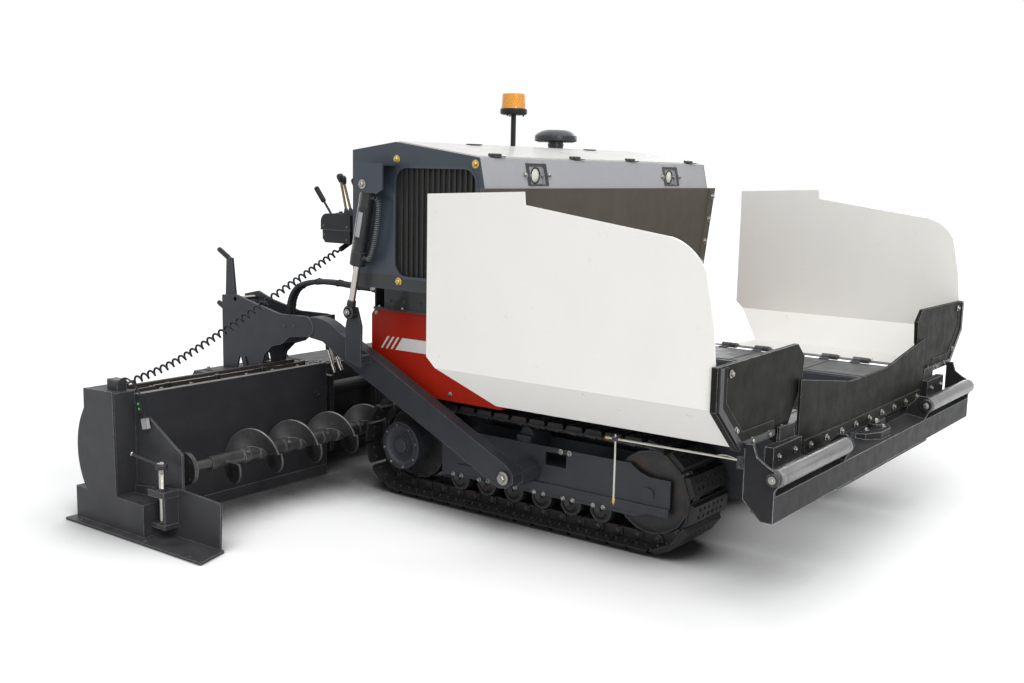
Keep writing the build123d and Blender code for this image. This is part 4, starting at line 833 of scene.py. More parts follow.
def addPad(bm, toWorld, half, low, high, y0, y1, slots):
    # a tread block with sloping sides and rectangular pits in its face
    inset, taper, deep = 0.006, 0.002, 0.010
    around = ((0, 0), (1, 0), (1, 1), (0, 1))
    alongs = sorted({-half, half, *[value for slot in slots for value in slot[:2]]})
    acrosses = sorted({y0 + inset, y1 - inset, *[value for slot in slots for value in slot[2:]]})
    alongs[0], alongs[-1] = -half + inset, half - inset
    last, end = len(alongs) - 1, len(acrosses) - 1
    grid = {(i, j): bm.verts.new(toWorld(u, v, high)) for i, u in enumerate(alongs)
            for j, v in enumerate(acrosses)}
    for i in range(last):
        for j in range(end):
            ring = [grid[i + a, j + b] for a, b in around]
            u, v = (alongs[i] + alongs[i + 1]) / 2, (acrosses[j] + acrosses[j + 1]) / 2
            if any(s[0] < u < s[1] and s[2] < v < s[3] for s in slots):
                pit = [bm.verts.new(toWorld(alongs[i + a] + taper * (1 - 2 * a),
                                            acrosses[j + b] + taper * (1 - 2 * b), high - deep))
                       for a, b in around]
                bm.faces.new(pit)
                joinRings(bm, [ring, pit])
            else:
                bm.faces.new(ring)
    border = ([(i, 0) for i in range(last)] + [(last, j) for j in range(end)]
              + [(i, end) for i in range(last, 0, -1)] + [(0, j) for j in range(end, 0, -1)])
    foot = [bm.verts.new(toWorld(max(-half, min(half, alongs[i] * half / (half - inset))),
                                 {0: y0, end: y1}.get(j, acrosses[j]), low)) for i, j in border]
    joinRings(bm, [[grid[place] for place in border], foot])
    bm.faces.new(foot[::-1])


def addBlockOn(bm, toWorld, u0, u1, v0, v1, w0, w1):
    addSkin(bm, [[toWorld(u, v, w) for u, v in ((u0, v0), (u1, v0), (u1, v1), (u0, v1))] for w in (w0, w1)])


def addShoe(treads, links, toWorld, out, width, slots):
    plate = track["plate"]
    top = plate + 0.007
    addBlockOn(treads, toWorld, -0.0515, 0.0515, -width, width, plate, top)
    addBlockOn(treads, toWorld, -0.0515, -0.044, -width + 0.01, width - 0.01, plate - 0.010, plate)
    addPad(treads, toWorld, 0.047, top, track["tread"], -width + 0.008, width - 0.008, slots)
    for v in (-0.048, 0.048):
        addBlockOn(links, toWorld, -0.046, 0.046, v - 0.009, v + 0.009, 0.1985, plate)
        addBlockOn(links, toWorld, -0.060, -0.030, v * 1.35 - 0.008, v * 1.35 + 0.008, 0.2005, 0.2345)
        for u in (-0.026, 0.026):
            addTurned(treads, toWorld(u, v * 2.75, plate - 0.001), -out, track["bolt"], 6)


def makeTracks():
    slots = []
    for centre in (-0.085, 0.0, 0.085):
        for row in (-0.017, 0.017):
            for step in (-0.021, 0.021):
                slots.append((row - 0.008, row + 0.008, centre + step - 0.009, centre + step + 0.009))
    width = (track["outer"] - track["inner"]) / 2
    for side, sign in sides:
        treads, links = bmesh.new(), bmesh.new()
        middle = sign * (track["inner"] + track["outer"]) / 2
        for index in range(track["count"]):
            x, z, ahead, out = alongTrack((index + 0.5) / track["count"])

            def toWorld(u, v, w):
                return Vector((x, middle + v, z)) + ahead * u + out * (w - track["pins"])

            addShoe(treads, links, toWorld, out, width, slots)
            pinX, pinZ, _, _ = alongTrack(index / track["count"])
            addTurned(links, (pinX, middle - 0.083, pinZ), leftward, track["pin"], 12)
        piece = makePiece(side + "TrackShoes", treads, "trackBlack", "tractor", 30)
        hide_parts(side + "_track")
        makePiece(side + "TrackChain", links, "linkSteel", "tractor", 30)


makeTracks()

running = {
    "rollers": [0.060 + 0.172 * step for step in range(6)],
    "rollerZ": 0.1303,
    "rollerY": (0.638, 0.792),
    "idler": (1.190, 0.268, 0.198),
    "hub": (-0.270, 0.268, 0.1258),
    "teeth": 15,
    "tooth": ((0.0, 0.1975), (0.18, 0.1980), (0.34, 0.1800), (0.66, 0.1800), (0.82, 0.1980)),
    "sprocketY": (0.684, 0.752),
    "boltY": 0.8185,
    "ledgeBolts": 0.156,
}


def addWheels(bm, sign):
    y0, y1 = running["rollerY"]
    long = y1 - y0
    for x in running["rollers"]:
        addTurned(bm, (x, sign * (y0 - 0.001), running["rollerZ"]), (0, sign, 0),
                  [(0, 0.030), (0.002, 0.0585), (0.006, 0.0608), (long - 0.004, 0.0608), (long, 0.0585),
                   (long + 0.002, 0.040), (long + 0.006, 0.034), (long + 0.010, 0.030)], 28)
    x, z, radius = running["idler"]
    addTurned(bm, (x, sign * 0.641, z), (0, sign, 0),
              [(0, 0.150), (0.004, radius - 0.003), (0.010, radius + 0.0004), (0.138, radius + 0.0004),
               (0.1445, radius - 0.003), (0.150, radius - 0.020), (0.150, radius - 0.040),
               (0.1475, 0.075), (0.153, 0.070), (0.160, 0.062), (0.160, 0.0)], 48)
    x, z, _ = running["hub"]
    outline = []
    for tooth in range(running["teeth"]):
        for part, reach in running["tooth"]:
            turn = 2 * pi * (tooth + part) / running["teeth"]
            outline.append((x + cos(turn) * reach, z + sin(turn) * reach))
    addPlate(bm, outline, *span(sign, *running["sprocketY"]), "y")


def addHubCap(bm, sign):
    x, z, radius = running["hub"]
    face = track["outer"] - 0.845
    addTurned(bm, (x, sign * 0.845, z), (0, sign, 0),
              [(0, radius - 0.004), (0.002, radius), (face - 0.0028, radius), (face - 0.0008, radius - 0.002),
               (face + 0.0002, radius - 0.006), (face + 0.0002, radius - 0.022),
               (face - 0.0025, radius - 0.026), (face - 0.0150, 0.074), (face - 0.0190, 0.062),
               (face - 0.0190, 0.040), (face - 0.0050, 0.036), (face - 0.0050, 0.0)], 56)


def addRunningBolts(bm, sign):
    x, z, radius = running["hub"]
    for step in range(8):
        out = spoke(radians(45 * step + 12)) * (radius - 0.014)
        addBolt(bm, (x + out.x, sign * (track["outer"] - 0.0022), z + out.z), (0, sign, 0), 0.015,
                washer=False)
    for x in running["rollers"]:
        for shift in (-0.028, 0.028):
            addBolt(bm, (x + shift, sign * running["boltY"], running["ledgeBolts"]), (0, sign, 0), 0.016)
    for x in (0.70, 0.75):
        addBolt(bm, (x, sign * running["boltY"], 0.383), (0, sign, 0), 0.018)
    addBolt(bm, (0.534, sign * 1.0565, 0.271), (0, sign, 0), 0.042)


def makeRunningGear():
    for side, sign in sides:
        wheels, caps, bolts = bmesh.new(), bmesh.new(), bmesh.new()
        addWheels(wheels, sign)
        addHubCap(caps, sign)
        addRunningBolts(bolts, sign)
        makePiece(side + "Wheels", wheels, "linkSteel", "tractor", 30)
        makePiece(side + "HubCap", caps, "armDark", "tractor", 40)
        makePiece(side + "RunningBolts", bolts, "zincBolt", "tractor", 30)


makeRunningGear()
print("tracks")


# Augers

auger = {
    "x": -0.690, "z": 0.280, "radius": 0.128, "tube": 0.0345, "pitch": 0.270, "first": 0.112,
    "turns": 6, "sheet": 0.012, "gap": 0.006, "inner": 0.075, "outer": 1.800, "end": 1.945,
    "steps": 40,
    "clamp": [(0, 0.036), (0.003, 0.041), (0.037, 0.041), (0.040, 0.036)],
    "flange": {"thick": 0.020, "radius": 0.080, "bore": 0.024, "holes": 0.060, "hole": 0.007},
}
auger["centre"] = Vector((auger["x"], 0, auger["z"]))
auger["rise"] = auger["pitch"] - auger["gap"] - auger["sheet"]


def addFlight(bm, sign, start):
    # one turn of the helical blade
    root, rim, sheet = auger["tube"] - 0.006, auger["radius"], auger["sheet"]
    section = ((root, 0), (0.075, -0.001), (rim - 0.003, 0), (rim, 0.003), (rim, sheet - 0.003),
               (rim - 0.003, sheet), (0.075, sheet + 0.001), (root, sheet))
    rings = []
    for step in range(auger["steps"] + 1):
        share = step / auger["steps"]
        out = spoke(2 * pi * share)
        rings.append([auger["centre"] + out * reach
                      + Vector((0, sign * (start + share * auger["rise"] + lift), 0))
                      for reach, lift in section])
    addSkin(bm, rings)


def addClamp(bm, sign, y):
    # a split collar with two bolts that holds the blade to the tube
    addTurned(bm, (auger["x"], sign * y, auger["z"]), (0, sign, 0), auger["clamp"], 28)
    for turn in (0.6, 0.6 + pi):
        place = auger["centre"] + spoke(turn) * 0.040 + Vector((0, sign * (y + 0.020), 0))
        addBolt(bm, place, spoke(turn), 0.017, washer=False)


def addFlange(bm, sign):
    # a disc in four quarters, each with a bolt hole in its middle
    flange = auger["flange"]
    layers = []
    for y in (sign * (auger["end"] - flange["thick"]), sign * auger["end"]):
        quarters = []
        for quarter in range(4):
            middle = radians(45 + 90 * quarter)
            start = spoke(middle) * flange["holes"]
            border = [spoke(middle - pi / 4 + pi / 36 * step) * flange["radius"] for step in range(19)]
            border += [spoke(middle + pi / 4 - pi / 8 * step) * flange["bore"] for step in range(5)]
            hole = [start + (place - start).normalized() * flange["hole"] for place in border]
            outer, inner = ([bm.verts.new(auger["centre"] + place + Vector((0, y, 0))) for place in ring]
                            for ring in (border, hole))
            joinRings(bm, [outer, inner])
            quarters.append((outer[:19], outer[19:], inner))
        layers.append(quarters)
    for near, far in zip(*layers):
        for index in range(18):
            bm.faces.new((near[0][index], near[0][index + 1], far[0][index + 1], far[0][index]))
        joinRings(bm, [near[2], far[2]])
    for quarters in layers:
        bm.faces.new([vert for quarter in reversed(quarters) for vert in quarter[1][:4]])
    bmesh.ops.remove_doubles(bm, verts=bm.verts, dist=0.00001)


def makeAugers():
    tube, long = auger["tube"], auger["outer"] - auger["inner"]
    shaft = [(0, 0.024), (0, tube - 0.002), (0.002, tube), (long, tube), (long + 0.003, 0.0245),
             (auger["end"] - 0.021 - auger["inner"], 0.0245)]
    for side, sign in sides:
        bm = bmesh.new()
        addTurned(bm, (auger["x"], sign * auger["inner"], auger["z"]), (0, sign, 0), shaft, 32)
        for number in range(auger["turns"]):
            start = auger["first"] + number * auger["pitch"]
            addFlight(bm, sign, start)
            for y in (start + 0.004, start + auger["rise"] / 2 - 0.02):
                addClamp(bm, sign, y)
        piece = makePiece(side + "AugerFlights", bm, "augerSteel", side + "_auger", 35)
        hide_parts(side + "_auger")
        bm = bmesh.new()
        addFlange(bm, sign)
        makePiece(side + "AugerFlange", bm, "augerSteel", side + "_auger", 35)


makeAugers()
print("augers")


# Hopper: gates, apron, rear wall, conveyors

gate = {
    "face": 1.8650,
    "edge": ((1.532, 1.023), (1.532, 0.8575), (1.3405, 0.6860), (1.030, 0.6860)),
    "rim": ((1.506, 1.018), (1.506, 0.8690), (1.3310, 0.7120), (1.030, 0.7120)),
    "strip": ((1.466, 1.020), (1.466, 0.8850), (1.3160, 0.7500), (1.030, 0.7500)),
    "bolts": ((1.438, 0.990), (1.377, 0.764), (1.231, 0.700), (1.079, 0.699), (0.955, 0.703)),
}


def makeGates():
    for side, sign in sides:
        for name, outer, inner, deep, finish in (("GateRim", "edge", "rim", 0.010, "blackPaint"),
                                                 ("GateStrip", "rim", "strip", 0.004, "gateOlive")):
            bm = bmesh.new()
            outline = [(sign * y, z) for y, z in (*gate[outer], *reversed(gate[inner]))]
            addPlate(bm, outline, gate["face"] + 0.0002, gate["face"] + deep, "x")
            makePiece(side + name, bm, finish, side + "_wing", 0)
        bm = bmesh.new()
        for y, z in gate["bolts"]:
            addBolt(bm, (gate["face"] + 0.004, sign * y, z), forward, 0.021)
        makePiece(side + "GateBolts", bm, "zincBolt", side + "_wing", 30)


makeGates()

wingFoot = {
    "spans": ((0.462, 0.648), (0.742, 0.860), (0.954, 1.272), (1.366, 1.453), (1.547, 1.844)),
    "near": 0.952, "far": 0.996, "low": 0.6975, "high": 0.7025,
}


def makeWingFeet():
    # the strip of the wing that reaches in over the hinge line, between the knuckles
    for side, sign in sides:
        bm = bmesh.new()
        for x0, x1 in wingFoot["spans"]:
            addBox(bm, x0, x1, *span(sign, wingFoot["near"], wingFoot["far"]),
                   wingFoot["low"], wingFoot["high"], 0.001)
        makePiece(side + "WingFoot", bm, "wingWhite", side + "_wing", 30)


makeWingFeet()

hopper = {
    "strip": 1.8955,
    "wall": 0.4545,
    "edge": ((1.125, 1.600), (0.975, 1.040)),  # top and bottom of the rear wall's slanted sides
    "floor": 0.5905,
    "slats": [-0.41 + 0.150 * step for step in range(14)],
    "belt": (0.048, 0.497),
    "chains": (0.093, 0.452),
    "pitch": 0.0375,
}


def makeHopperBolts():
    bm = bmesh.new()
    for step in range(9):
        addBolt(bm, (hopper["strip"], -0.70 + 0.175 * step, 0.592), forward, 0.021)
    for sign in (-1, 1):
        (topY, topZ), (lowY, lowZ) = hopper["edge"]
        for share in (0.04, 0.28, 0.52, 0.74, 0.93):
            y, z = topY + (lowY - topY) * share, topZ + (lowZ - topZ) * share
            addBolt(bm, (hopper["wall"], sign * y, z), forward, 0.024)
        for x in (0.52, 0.80, 1.10, 1.41, 1.70):
            addTurned(bm, (x, sign * 0.56, 0.690), upward, [(0, 0.015), (0.003, 0.013), (0.0035, 0.0)], 16)
        for y in (0.30, 0.80):
            addBolt(bm, (hopper["wall"], sign * y, 1.02), forward, 0.030)
    makePiece("hopperBolts", bm, "zincBolt", "tractor", 30)


def makeWearPlates():
    bm = bmesh.new()
    for sign in (-1, 1):
        addPlate(bm, [(sign * 0.58, 0.962), (sign * 0.10, 0.962), (sign * 0.10, 1.000), (sign * 0.58, 1.000)],
                 0.4465, 0.4525, "x")
        for x0, x1 in ((0.47, 0.90), (0.91, 1.34), (1.35, 1.76)):
            addBox(bm, x0, x1, *span(sign, 0.535, 0.915), 0.6903, 0.6933, 0.001)
    makePiece("hopperWearPlates", bm, "floorSteel", "tractor", 30)


def makeConveyors():
    bm = bmesh.new()
    low, high = hopper["floor"], hopper["floor"] + 0.031
    near, far = hopper["belt"]
    for sign in (-1, 1):
        addBox(bm, -0.448, 1.743, *span(sign, near, far), low, low + 0.008)
        for x in hopper["slats"]:
            addPlate(bm, [(x, low + 0.010), (x + 0.022, low + 0.010), (x + 0.019, high), (x + 0.003, high)],
                     *span(sign, near + 0.002, far - 0.002), "y")
        for chain in hopper["chains"]:
            for step in range(58):
                x, y = -0.430 + step * hopper["pitch"], sign * chain
                for shift in (-0.011, 0.011) if step % 2 else (-0.006, 0.006):
                    addBox(bm, x - 0.022, x + 0.022, y + shift - 0.002, y + shift + 0.002,
                           low + 0.009, low + 0.027)
                addRod(bm, (x + 0.018, y - 0.015, low + 0.018), (x + 0.018, y + 0.015, low + 0.018), 0.005, 8)
    chains = makePiece("conveyorChains", bm, "wornSteel", "tractor", 30)
    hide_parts("conveyor")


makeHopperBolts()
makeWearPlates()
makeConveyors()
print("hopper")


# Bumper and push rollers

push = {
    "x": 1.995, "z": 0.580, "inner": 0.565, "outer": 1.277, "radius": 0.0375, "bore": 0.011,
    "plate": 1.295,
    "hook": ((1.908, -0.135), (1.935, -0.120), (1.968, -0.020), (1.968, 0.045), (1.945, 0.050),
             (1.925, -0.030), (1.908, -0.060)),
}


def makePushRollers():
    length, radius, bore = push["outer"] - push["inner"], push["radius"], push["bore"]
    half = [(0, bore), (0, radius - 0.005), (0.003, radius), (0.030, radius), (0.031, radius - 0.002),
            (0.036, radius - 0.002), (0.037, radius)]  # up to the inner side of the end band
    profile = half + [(length - reach, size) for reach, size in reversed(half)]
    for side, sign in sides:
        bm = bmesh.new()
        addRing(bm, (push["x"], sign * push["inner"], push["z"]), (0, sign, 0), profile, 40)
        piece = makePiece(side + "PushRoller", bm, "rollerSteel", side + "_push_roller", 40)
        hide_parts(side + "_push_roller")


def makeBumperDetails():
    dark, bright, shelf = bmesh.new(), bmesh.new(), bmesh.new()
    for _, sign in sides:
        addTurned(dark, (push["x"], sign * (push["plate"] + 0.0003), push["z"]), (0, sign, 0),
                  [(0, 0.027), (0.004, 0.028), (0.012, 0.027), (0.015, 0.023)], 28)
        addBolt(bright, (push["x"], sign * (push["plate"] + 0.0150), push["z"]), (0, sign, 0), 0.020)
        addTurned(dark, (push["x"], sign * 0.5465, push["z"]), (0, -sign, 0),
                  [(0, 0.033), (0.006, 0.033), (0.009, 0.030)], 28)
        addBolt(bright, (push["x"], sign * 0.5375, push["z"]), (0, -sign, 0), 0.022)
        for y in (0.90, 1.06):
            addBolt(bright, (1.9103, sign * y, 0.610), forward, 0.020)
        addBox(shelf, 1.8455, 1.9080, *span(sign, 0.236, 1.240), 0.5165, 0.5235, 0.0015)
        addBox(shelf, 1.8455, 1.8530, *span(sign, 0.236, 1.240), 0.5235, 0.5600, 0.0015)
    addPlate(dark, push["hook"], 0.5482, 0.5560, "z")
    for x, y in ((1.921, -0.105), (1.954, 0.028)):
        addBolt(bright, (x, y, 0.5561), upward, 0.020)
    addRod(bright, (1.930, 0, 0.5482), (1.930, 0, 0.5840), 0.009, 16)
    addBolt(bright, (1.930, 0, 0.5840), upward, 0.022)
    makePiece("bumperShelf", shelf, "bumperGrey", "tractor", 30)
    makePiece("bumperCaps", dark, "blackPaint", "tractor", 30)
    makePiece("bumperBolts", bright, "zincBolt", "tractor", 30)


makePushRollers()
makeBumperDetails()
print("bumper")


# Hood: lamps, hinges, grille lips, roof fittings

hood = {
    "side": 1.100,
    "grille": (-0.120, 0.380, 1.190, 1.715, 0.070),
    "lamp": (0.665, 1.692),
    "pocket": (0.0618, 1.6484, 1.7348),  # half width, low, high
    "surround": (0.0860, 1.6420, 1.7500),
    "band": ((0.428, 1.630), (0.398, 1.770)),
    "slope": (0.978, 0, 0.21),
    "hinges": (0.275, 0.950),
    "screws": ((-0.111, 1.757), (0.377, 1.740), (-0.096, 1.1627), (0.377, 1.1627)),
    "rim": [(0, 0.0345), (0.0, 0.0412), (0.009, 0.0412), (0.011, 0.0360), (0.009, 0.0340)],
    "lens": [(0, 0.0338), (0.005, 0.0338), (0.009, 0.026), (0.0115, 0.013), (0.012, 0.0)],
}


def rectangle(a0, a1, b0, b1):
    return [(a0, b0), (a1, b0), (a1, b1), (a0, b1)]


def roundedRing(x0, x1, z0, z1, radius, grow):
    points = []
    x0, x1, z0, z1, radius = x0 - grow, x1 + grow, z0 - grow, z1 + grow, radius + grow
    for x, z, start in ((x1 - radius, z1 - radius, 0), (x0 + radius, z1 - radius, 90),
                        (x0 + radius, z0 + radius, 180), (x1 - radius, z0 + radius, 270)):
        for step in range(9):
            turn = radians(start + 11.25 * step)
            points.append((x + cos(turn) * radius, z + sin(turn) * radius))
    return points


def hoodFace(z):
    # how far forward the sloping band above the hopper wall stands
    low, high = hood["band"]
    return low[0] + (high[0] - low[0]) * (z - low[1]) / (high[1] - low[1])


def addHeadlamp(lampY, dark, frames, paintedShadeRims, lens, bolts):
    # a round lamp in a square plate, behind an opening in the sloping band
    lampZ = hood["lamp"][1]
    around, pocket = ([(lampY + y, z) for y, z in rectangle(-half, half, low, high)]
                      for half, low, high in (hood["surround"], hood["pocket"]))
    surround = bmesh.new()
    addLoopPlate(surround, around, pocket, 0.0002, 0.0030, "x")
    for vert in surround.verts:
        vert.co.x += hoodFace(vert.co.z)
    mergeInto(dark, surround)
    outer, inner = [], []
    for step in range(32):
        turn = 2 * pi * step / 32
        across, up = cos(turn), sin(turn)
        reach = min(0.0605 / max(abs(across), 1e-6), 0.0428 / max(abs(up), 1e-6))
        outer.append((lampY + across * reach, lampZ + up * reach))
        inner.append((lampY + across * 0.0415, lampZ + up * 0.0415))
    addLoopPlate(frames, outer, inner, 0.3990, 0.4030, "x")
    # a rim round the lens, painted black as painted shade: its black stands in for the dark crescent of shade
    # between the lens and its plate
    addRing(paintedShadeRims, (0.396, lampY, lampZ), forward, hood["rim"], 36)
    addTurned(lens, (0.396, lampY, lampZ), forward, hood["lens"], 36)
    for shift in (-0.1000, 0.1000):
        addBolt(bolts, (hoodFace(lampZ), lampY + shift, lampZ), hood["slope"], 0.022)
    for shift in (-0.051, 0.051):
        addBolt(bolts, (0.4032, lampY + shift, lampZ), forward, 0.016)


def makeHoodDetails():
    lips, frames, lens, paintedShadeRims, bolts, gold, dark = (bmesh.new() for _ in range(7))
    for _, sign in sides:
        face = sign * hood["side"]
        addLoopPlate(lips, roundedRing(*hood["grille"], 0.012), roundedRing(*hood["grille"], 0.001),
                     face + sign * 0.0002, face + sign * 0.003, "y")
        for x, z in hood["screws"]:
            addBolt(gold, (x, face + sign * 0.0003, z), (0, sign, 0), 0.026)
        for y in hood["hinges"]:
            addBox(dark, 0.352, 0.405, sign * y - 0.045, sign * y + 0.045, 1.7745, 1.7795, 0.001)
            for part in (-0.030, 0, 0.030):
                addTurned(dark, (0.372, sign * y + part - 0.013, 1.7835), leftward,
                          [(0, 0.0075), (0.001, 0.0085), (0.025, 0.0085), (0.026, 0.0075)], 14)
        addBox(dark, -0.090, -0.060, sign * 0.55 - 0.05, sign * 0.55 + 0.05, 1.8395, 1.8455, 0.001)
        addHeadlamp(sign * hood["lamp"][0], dark, frames, paintedShadeRims, lens, bolts)
        for y in (0.20, 1.06):
            addBolt(bolts, (0.4283, sign * y, 1.16), forward, 0.020)
        for x in (-0.289, -0.191, -0.084, 0.20, 0.34):
            addBolt(dark, (x, sign * 0.9523, 1.0400), (0, sign, 0), 0.013)
        for z in (1.24, 1.46, 1.68):
            addTurned(dark, (-0.4103, sign * 0.985, z - 0.035), upward,
                      [(0, 0.006), (0.001, 0.007), (0.069, 0.007), (0.070, 0.006)], 12)
        addBox(lips, -0.4125, -0.4103, *span(sign, 0.10, 0.97), 1.18, 1.76, 0.0006)
        addBox(dark, -0.4185, -0.4125, *span(sign, 0.13, 0.20), 1.45, 1.50, 0.002)
        addBolt(bolts, (-0.245, sign * 1.2013, 1.634), (0, sign, 0), 0.030)
    makePiece("hoodLips", lips, "hoodDark", "tractor", 30)
    makePiece("lampPlates", frames, "bandGrey", "tractor", 30)
    makePiece("lampLenses", lens, "lampLens", "tractor", 40)
    # the lamp rims' black is painted shade
    makePiece("lampPaintedShadeRims", paintedShadeRims, "blackPaint", "tractor", 40)
    makePiece("hoodBolts", bolts, "zincBolt", "tractor", 30)
    makePiece("hoodYellowBolts", gold, "yellowZinc", "tractor", 30)
    makePiece("hoodHinges", dark, "blackPaint", "tractor", 30)


makeHoodDetails()

roof = {
    "beacon": (-0.220, -0.020),
    "tray": [(0, 0.060), (0.004, 0.072), (0.009, 0.0755), (0.031, 0.0755), (0.034, 0.0715),
             (0.0355, 0.0700)],
    "cleaner": (-0.205, 0.380),
    "collar": [(0, 0.0445), (0.022, 0.0445), (0.023, 0.0475), (0.036, 0.0475), (0.037, 0.0445),
               (0.044, 0.0445)],
    "cap": [(0, 0.060), (0.002, 0.096), (0.009, 0.118), (0.012, 0.1245), (0.020, 0.1248), (0.021, 0.1225),
            (0.023, 0.1225), (0.024, 0.1248), (0.038, 0.1240), (0.048, 0.115), (0.058, 0.099),
            (0.068, 0.076), (0.073, 0.050), (0.0738, 0.020), (0.074, 0.0)],
    "fins": 28,
    "fin": ((0.098, 1.8812), (0.119, 1.8895), (0.1235, 1.8915), (0.1235, 1.8885), (0.098, 1.8802)),
}


def makeBeacon():
    x, y = roof["beacon"]
    bm = bmesh.new()
    addBox(bm, x - 0.030, x + 0.030, y - 0.030, y + 0.030, 1.8282, 1.8355, 0.002)
    addBox(bm, x - 0.011, x + 0.011, y - 0.011, y + 0.011, 1.8350, 2.0215, 0.002)
    addTurned(bm, (x, y, 2.0205), upward, roof["tray"], 56)
    for turn in (0.5, 2.6, 4.7):
        addTurned(bm, (x + cos(turn) * 0.055, y + sin(turn) * 0.055, 2.0205), (0, 0, -1),
                  [(0, 0.005), (0.006, 0.005), (0.008, 0.003)], 10)
    base = makePiece("beaconBase", bm, "blackPlastic", "tractor", 40)
    bm = bmesh.new()
    profile = [(0, 0.0690)]
    for step in range(9):
        z, radius = 0.006 + 0.0083 * step, 0.0690 - 0.0006 * step
        profile += [(z, radius), (z + 0.0045, radius), (z + 0.0055, radius - 0.0012),
                    (z + 0.0072, radius - 0.0012)]
    profile += [(0.0815, 0.0600), (0.0818, 0.0)]
    addTurned(bm, (x, y, 2.0560), upward, profile, 64)
    dome = makePiece("beaconDome", bm, "amber", "tractor", 40)
    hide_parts("beacon")
    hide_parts("beacon")


def makePreCleaner():
    x, y = roof["cleaner"]
    bm = bmesh.new()
    addTurned(bm, (x, y, 1.8360), upward, roof["collar"], 44)
    addTurned(bm, (x, y, 1.8800), upward, roof["cap"], 64)
    for step in range(roof["fins"]):
        turn = 2 * pi * step / roof["fins"]
        out = Vector((cos(turn), sin(turn), 0))
        side = Vector((-sin(turn), cos(turn), 0)) * 0.002
        corners = [Vector((x, y, z)) + out * reach for reach, z in roof["fin"]]
        addSkin(bm, [[corner + side for corner in corners], [corner - side for corner in corners]])
    cleaner = makePiece("preCleaner", bm, "cleanerBlack", "tractor", 35)
    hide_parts("pre_cleaner")


makeBeacon()
makePreCleaner()
print("hood and roof")


# Lift cylinders

lift = {
    "top": (-0.245, 1.634),
    "eye": (-0.380, 0.990),
    "out": 1.150,
    "barrel": 0.035,
    "rod": 0.017,
    "bore": 0.0182,
    "end": 0.412,
    "start": 0.335,
    "ports": (0.060, 0.366),
    "topEye": [(0, 0.0128), (0, 0.026), (0.002, 0.028), (0.0336, 0.028), (0.0356, 0.026), (0.0356, 0.0128)],
    "lowEye": [(0, 0.0225), (0, 0.032), (0.002, 0.0338), (0.0336, 0.0338), (0.0356, 0.032),
               (0.0356, 0.0225)],
    "grease": [(0, 0.0060), (0.004, 0.0060), (0.005, 0.0040), (0.010, 0.0035), (0.011, 0.0020)],
}


def addHose(bm, guard, points, radius, turns):
    # a short hose with a spiral guard wound around it
    places = [place for place, _, _ in walk(points, 60)[0]]
    addTube(bm, places, radius, 12)
    across, coil = None, []
    for index, (place, ahead, _) in enumerate(walk(places, turns * 12)[0]):
        across, up = carried(across, ahead)
        turn = 2 * pi * index / 12
        coil.append(place + (across * cos(turn) + up * sin(turn)) * (radius + 0.0014))
    addTube(guard, coil, 0.0022, 6)


def addBarrel(bm, top, way, across, outward):
    tube, bore, end = lift["barrel"], lift["bore"], lift["end"]
    addTurned(bm, top, way, [(0.020, tube - 0.004), (0.024, tube), (0.340, tube), (0.341, tube + 0.004),
                             (0.352, tube + 0.005), (0.380, tube + 0.0055), (0.408, tube + 0.0055),
                             (end, tube + 0.002), (end, bore), (0.090, bore), (0.090, 0.0)], 40)
    addRing(bm, top - outward * 0.0178, outward, lift["topEye"], 36)
    for reach in lift["ports"]:
        port = top + way * reach
        addTurned(bm, port, across, [(0.030, 0.013), (0.044, 0.013), (0.046, 0.011), (0.050, 0.011)], 16)
        addTurned(bm, port, across, [(0.050, 0.0135), (0.061, 0.0135)], 6)


def addBarrelPlate(bm, top, way, across, outward):
    # a thin blank plate bent round the barrel
    rings = []
    for step in range(-4, 5):
        turn = radians(6 * step)
        out = outward * cos(turn) + across * sin(turn)
        rings.append([top + way * reach + out * (lift["barrel"] + height) for reach, height in
                      ((0.140, 0.0003), (0.140, 0.0010), (0.265, 0.0010), (0.265, 0.0003))])
    addSkin(bm, rings)


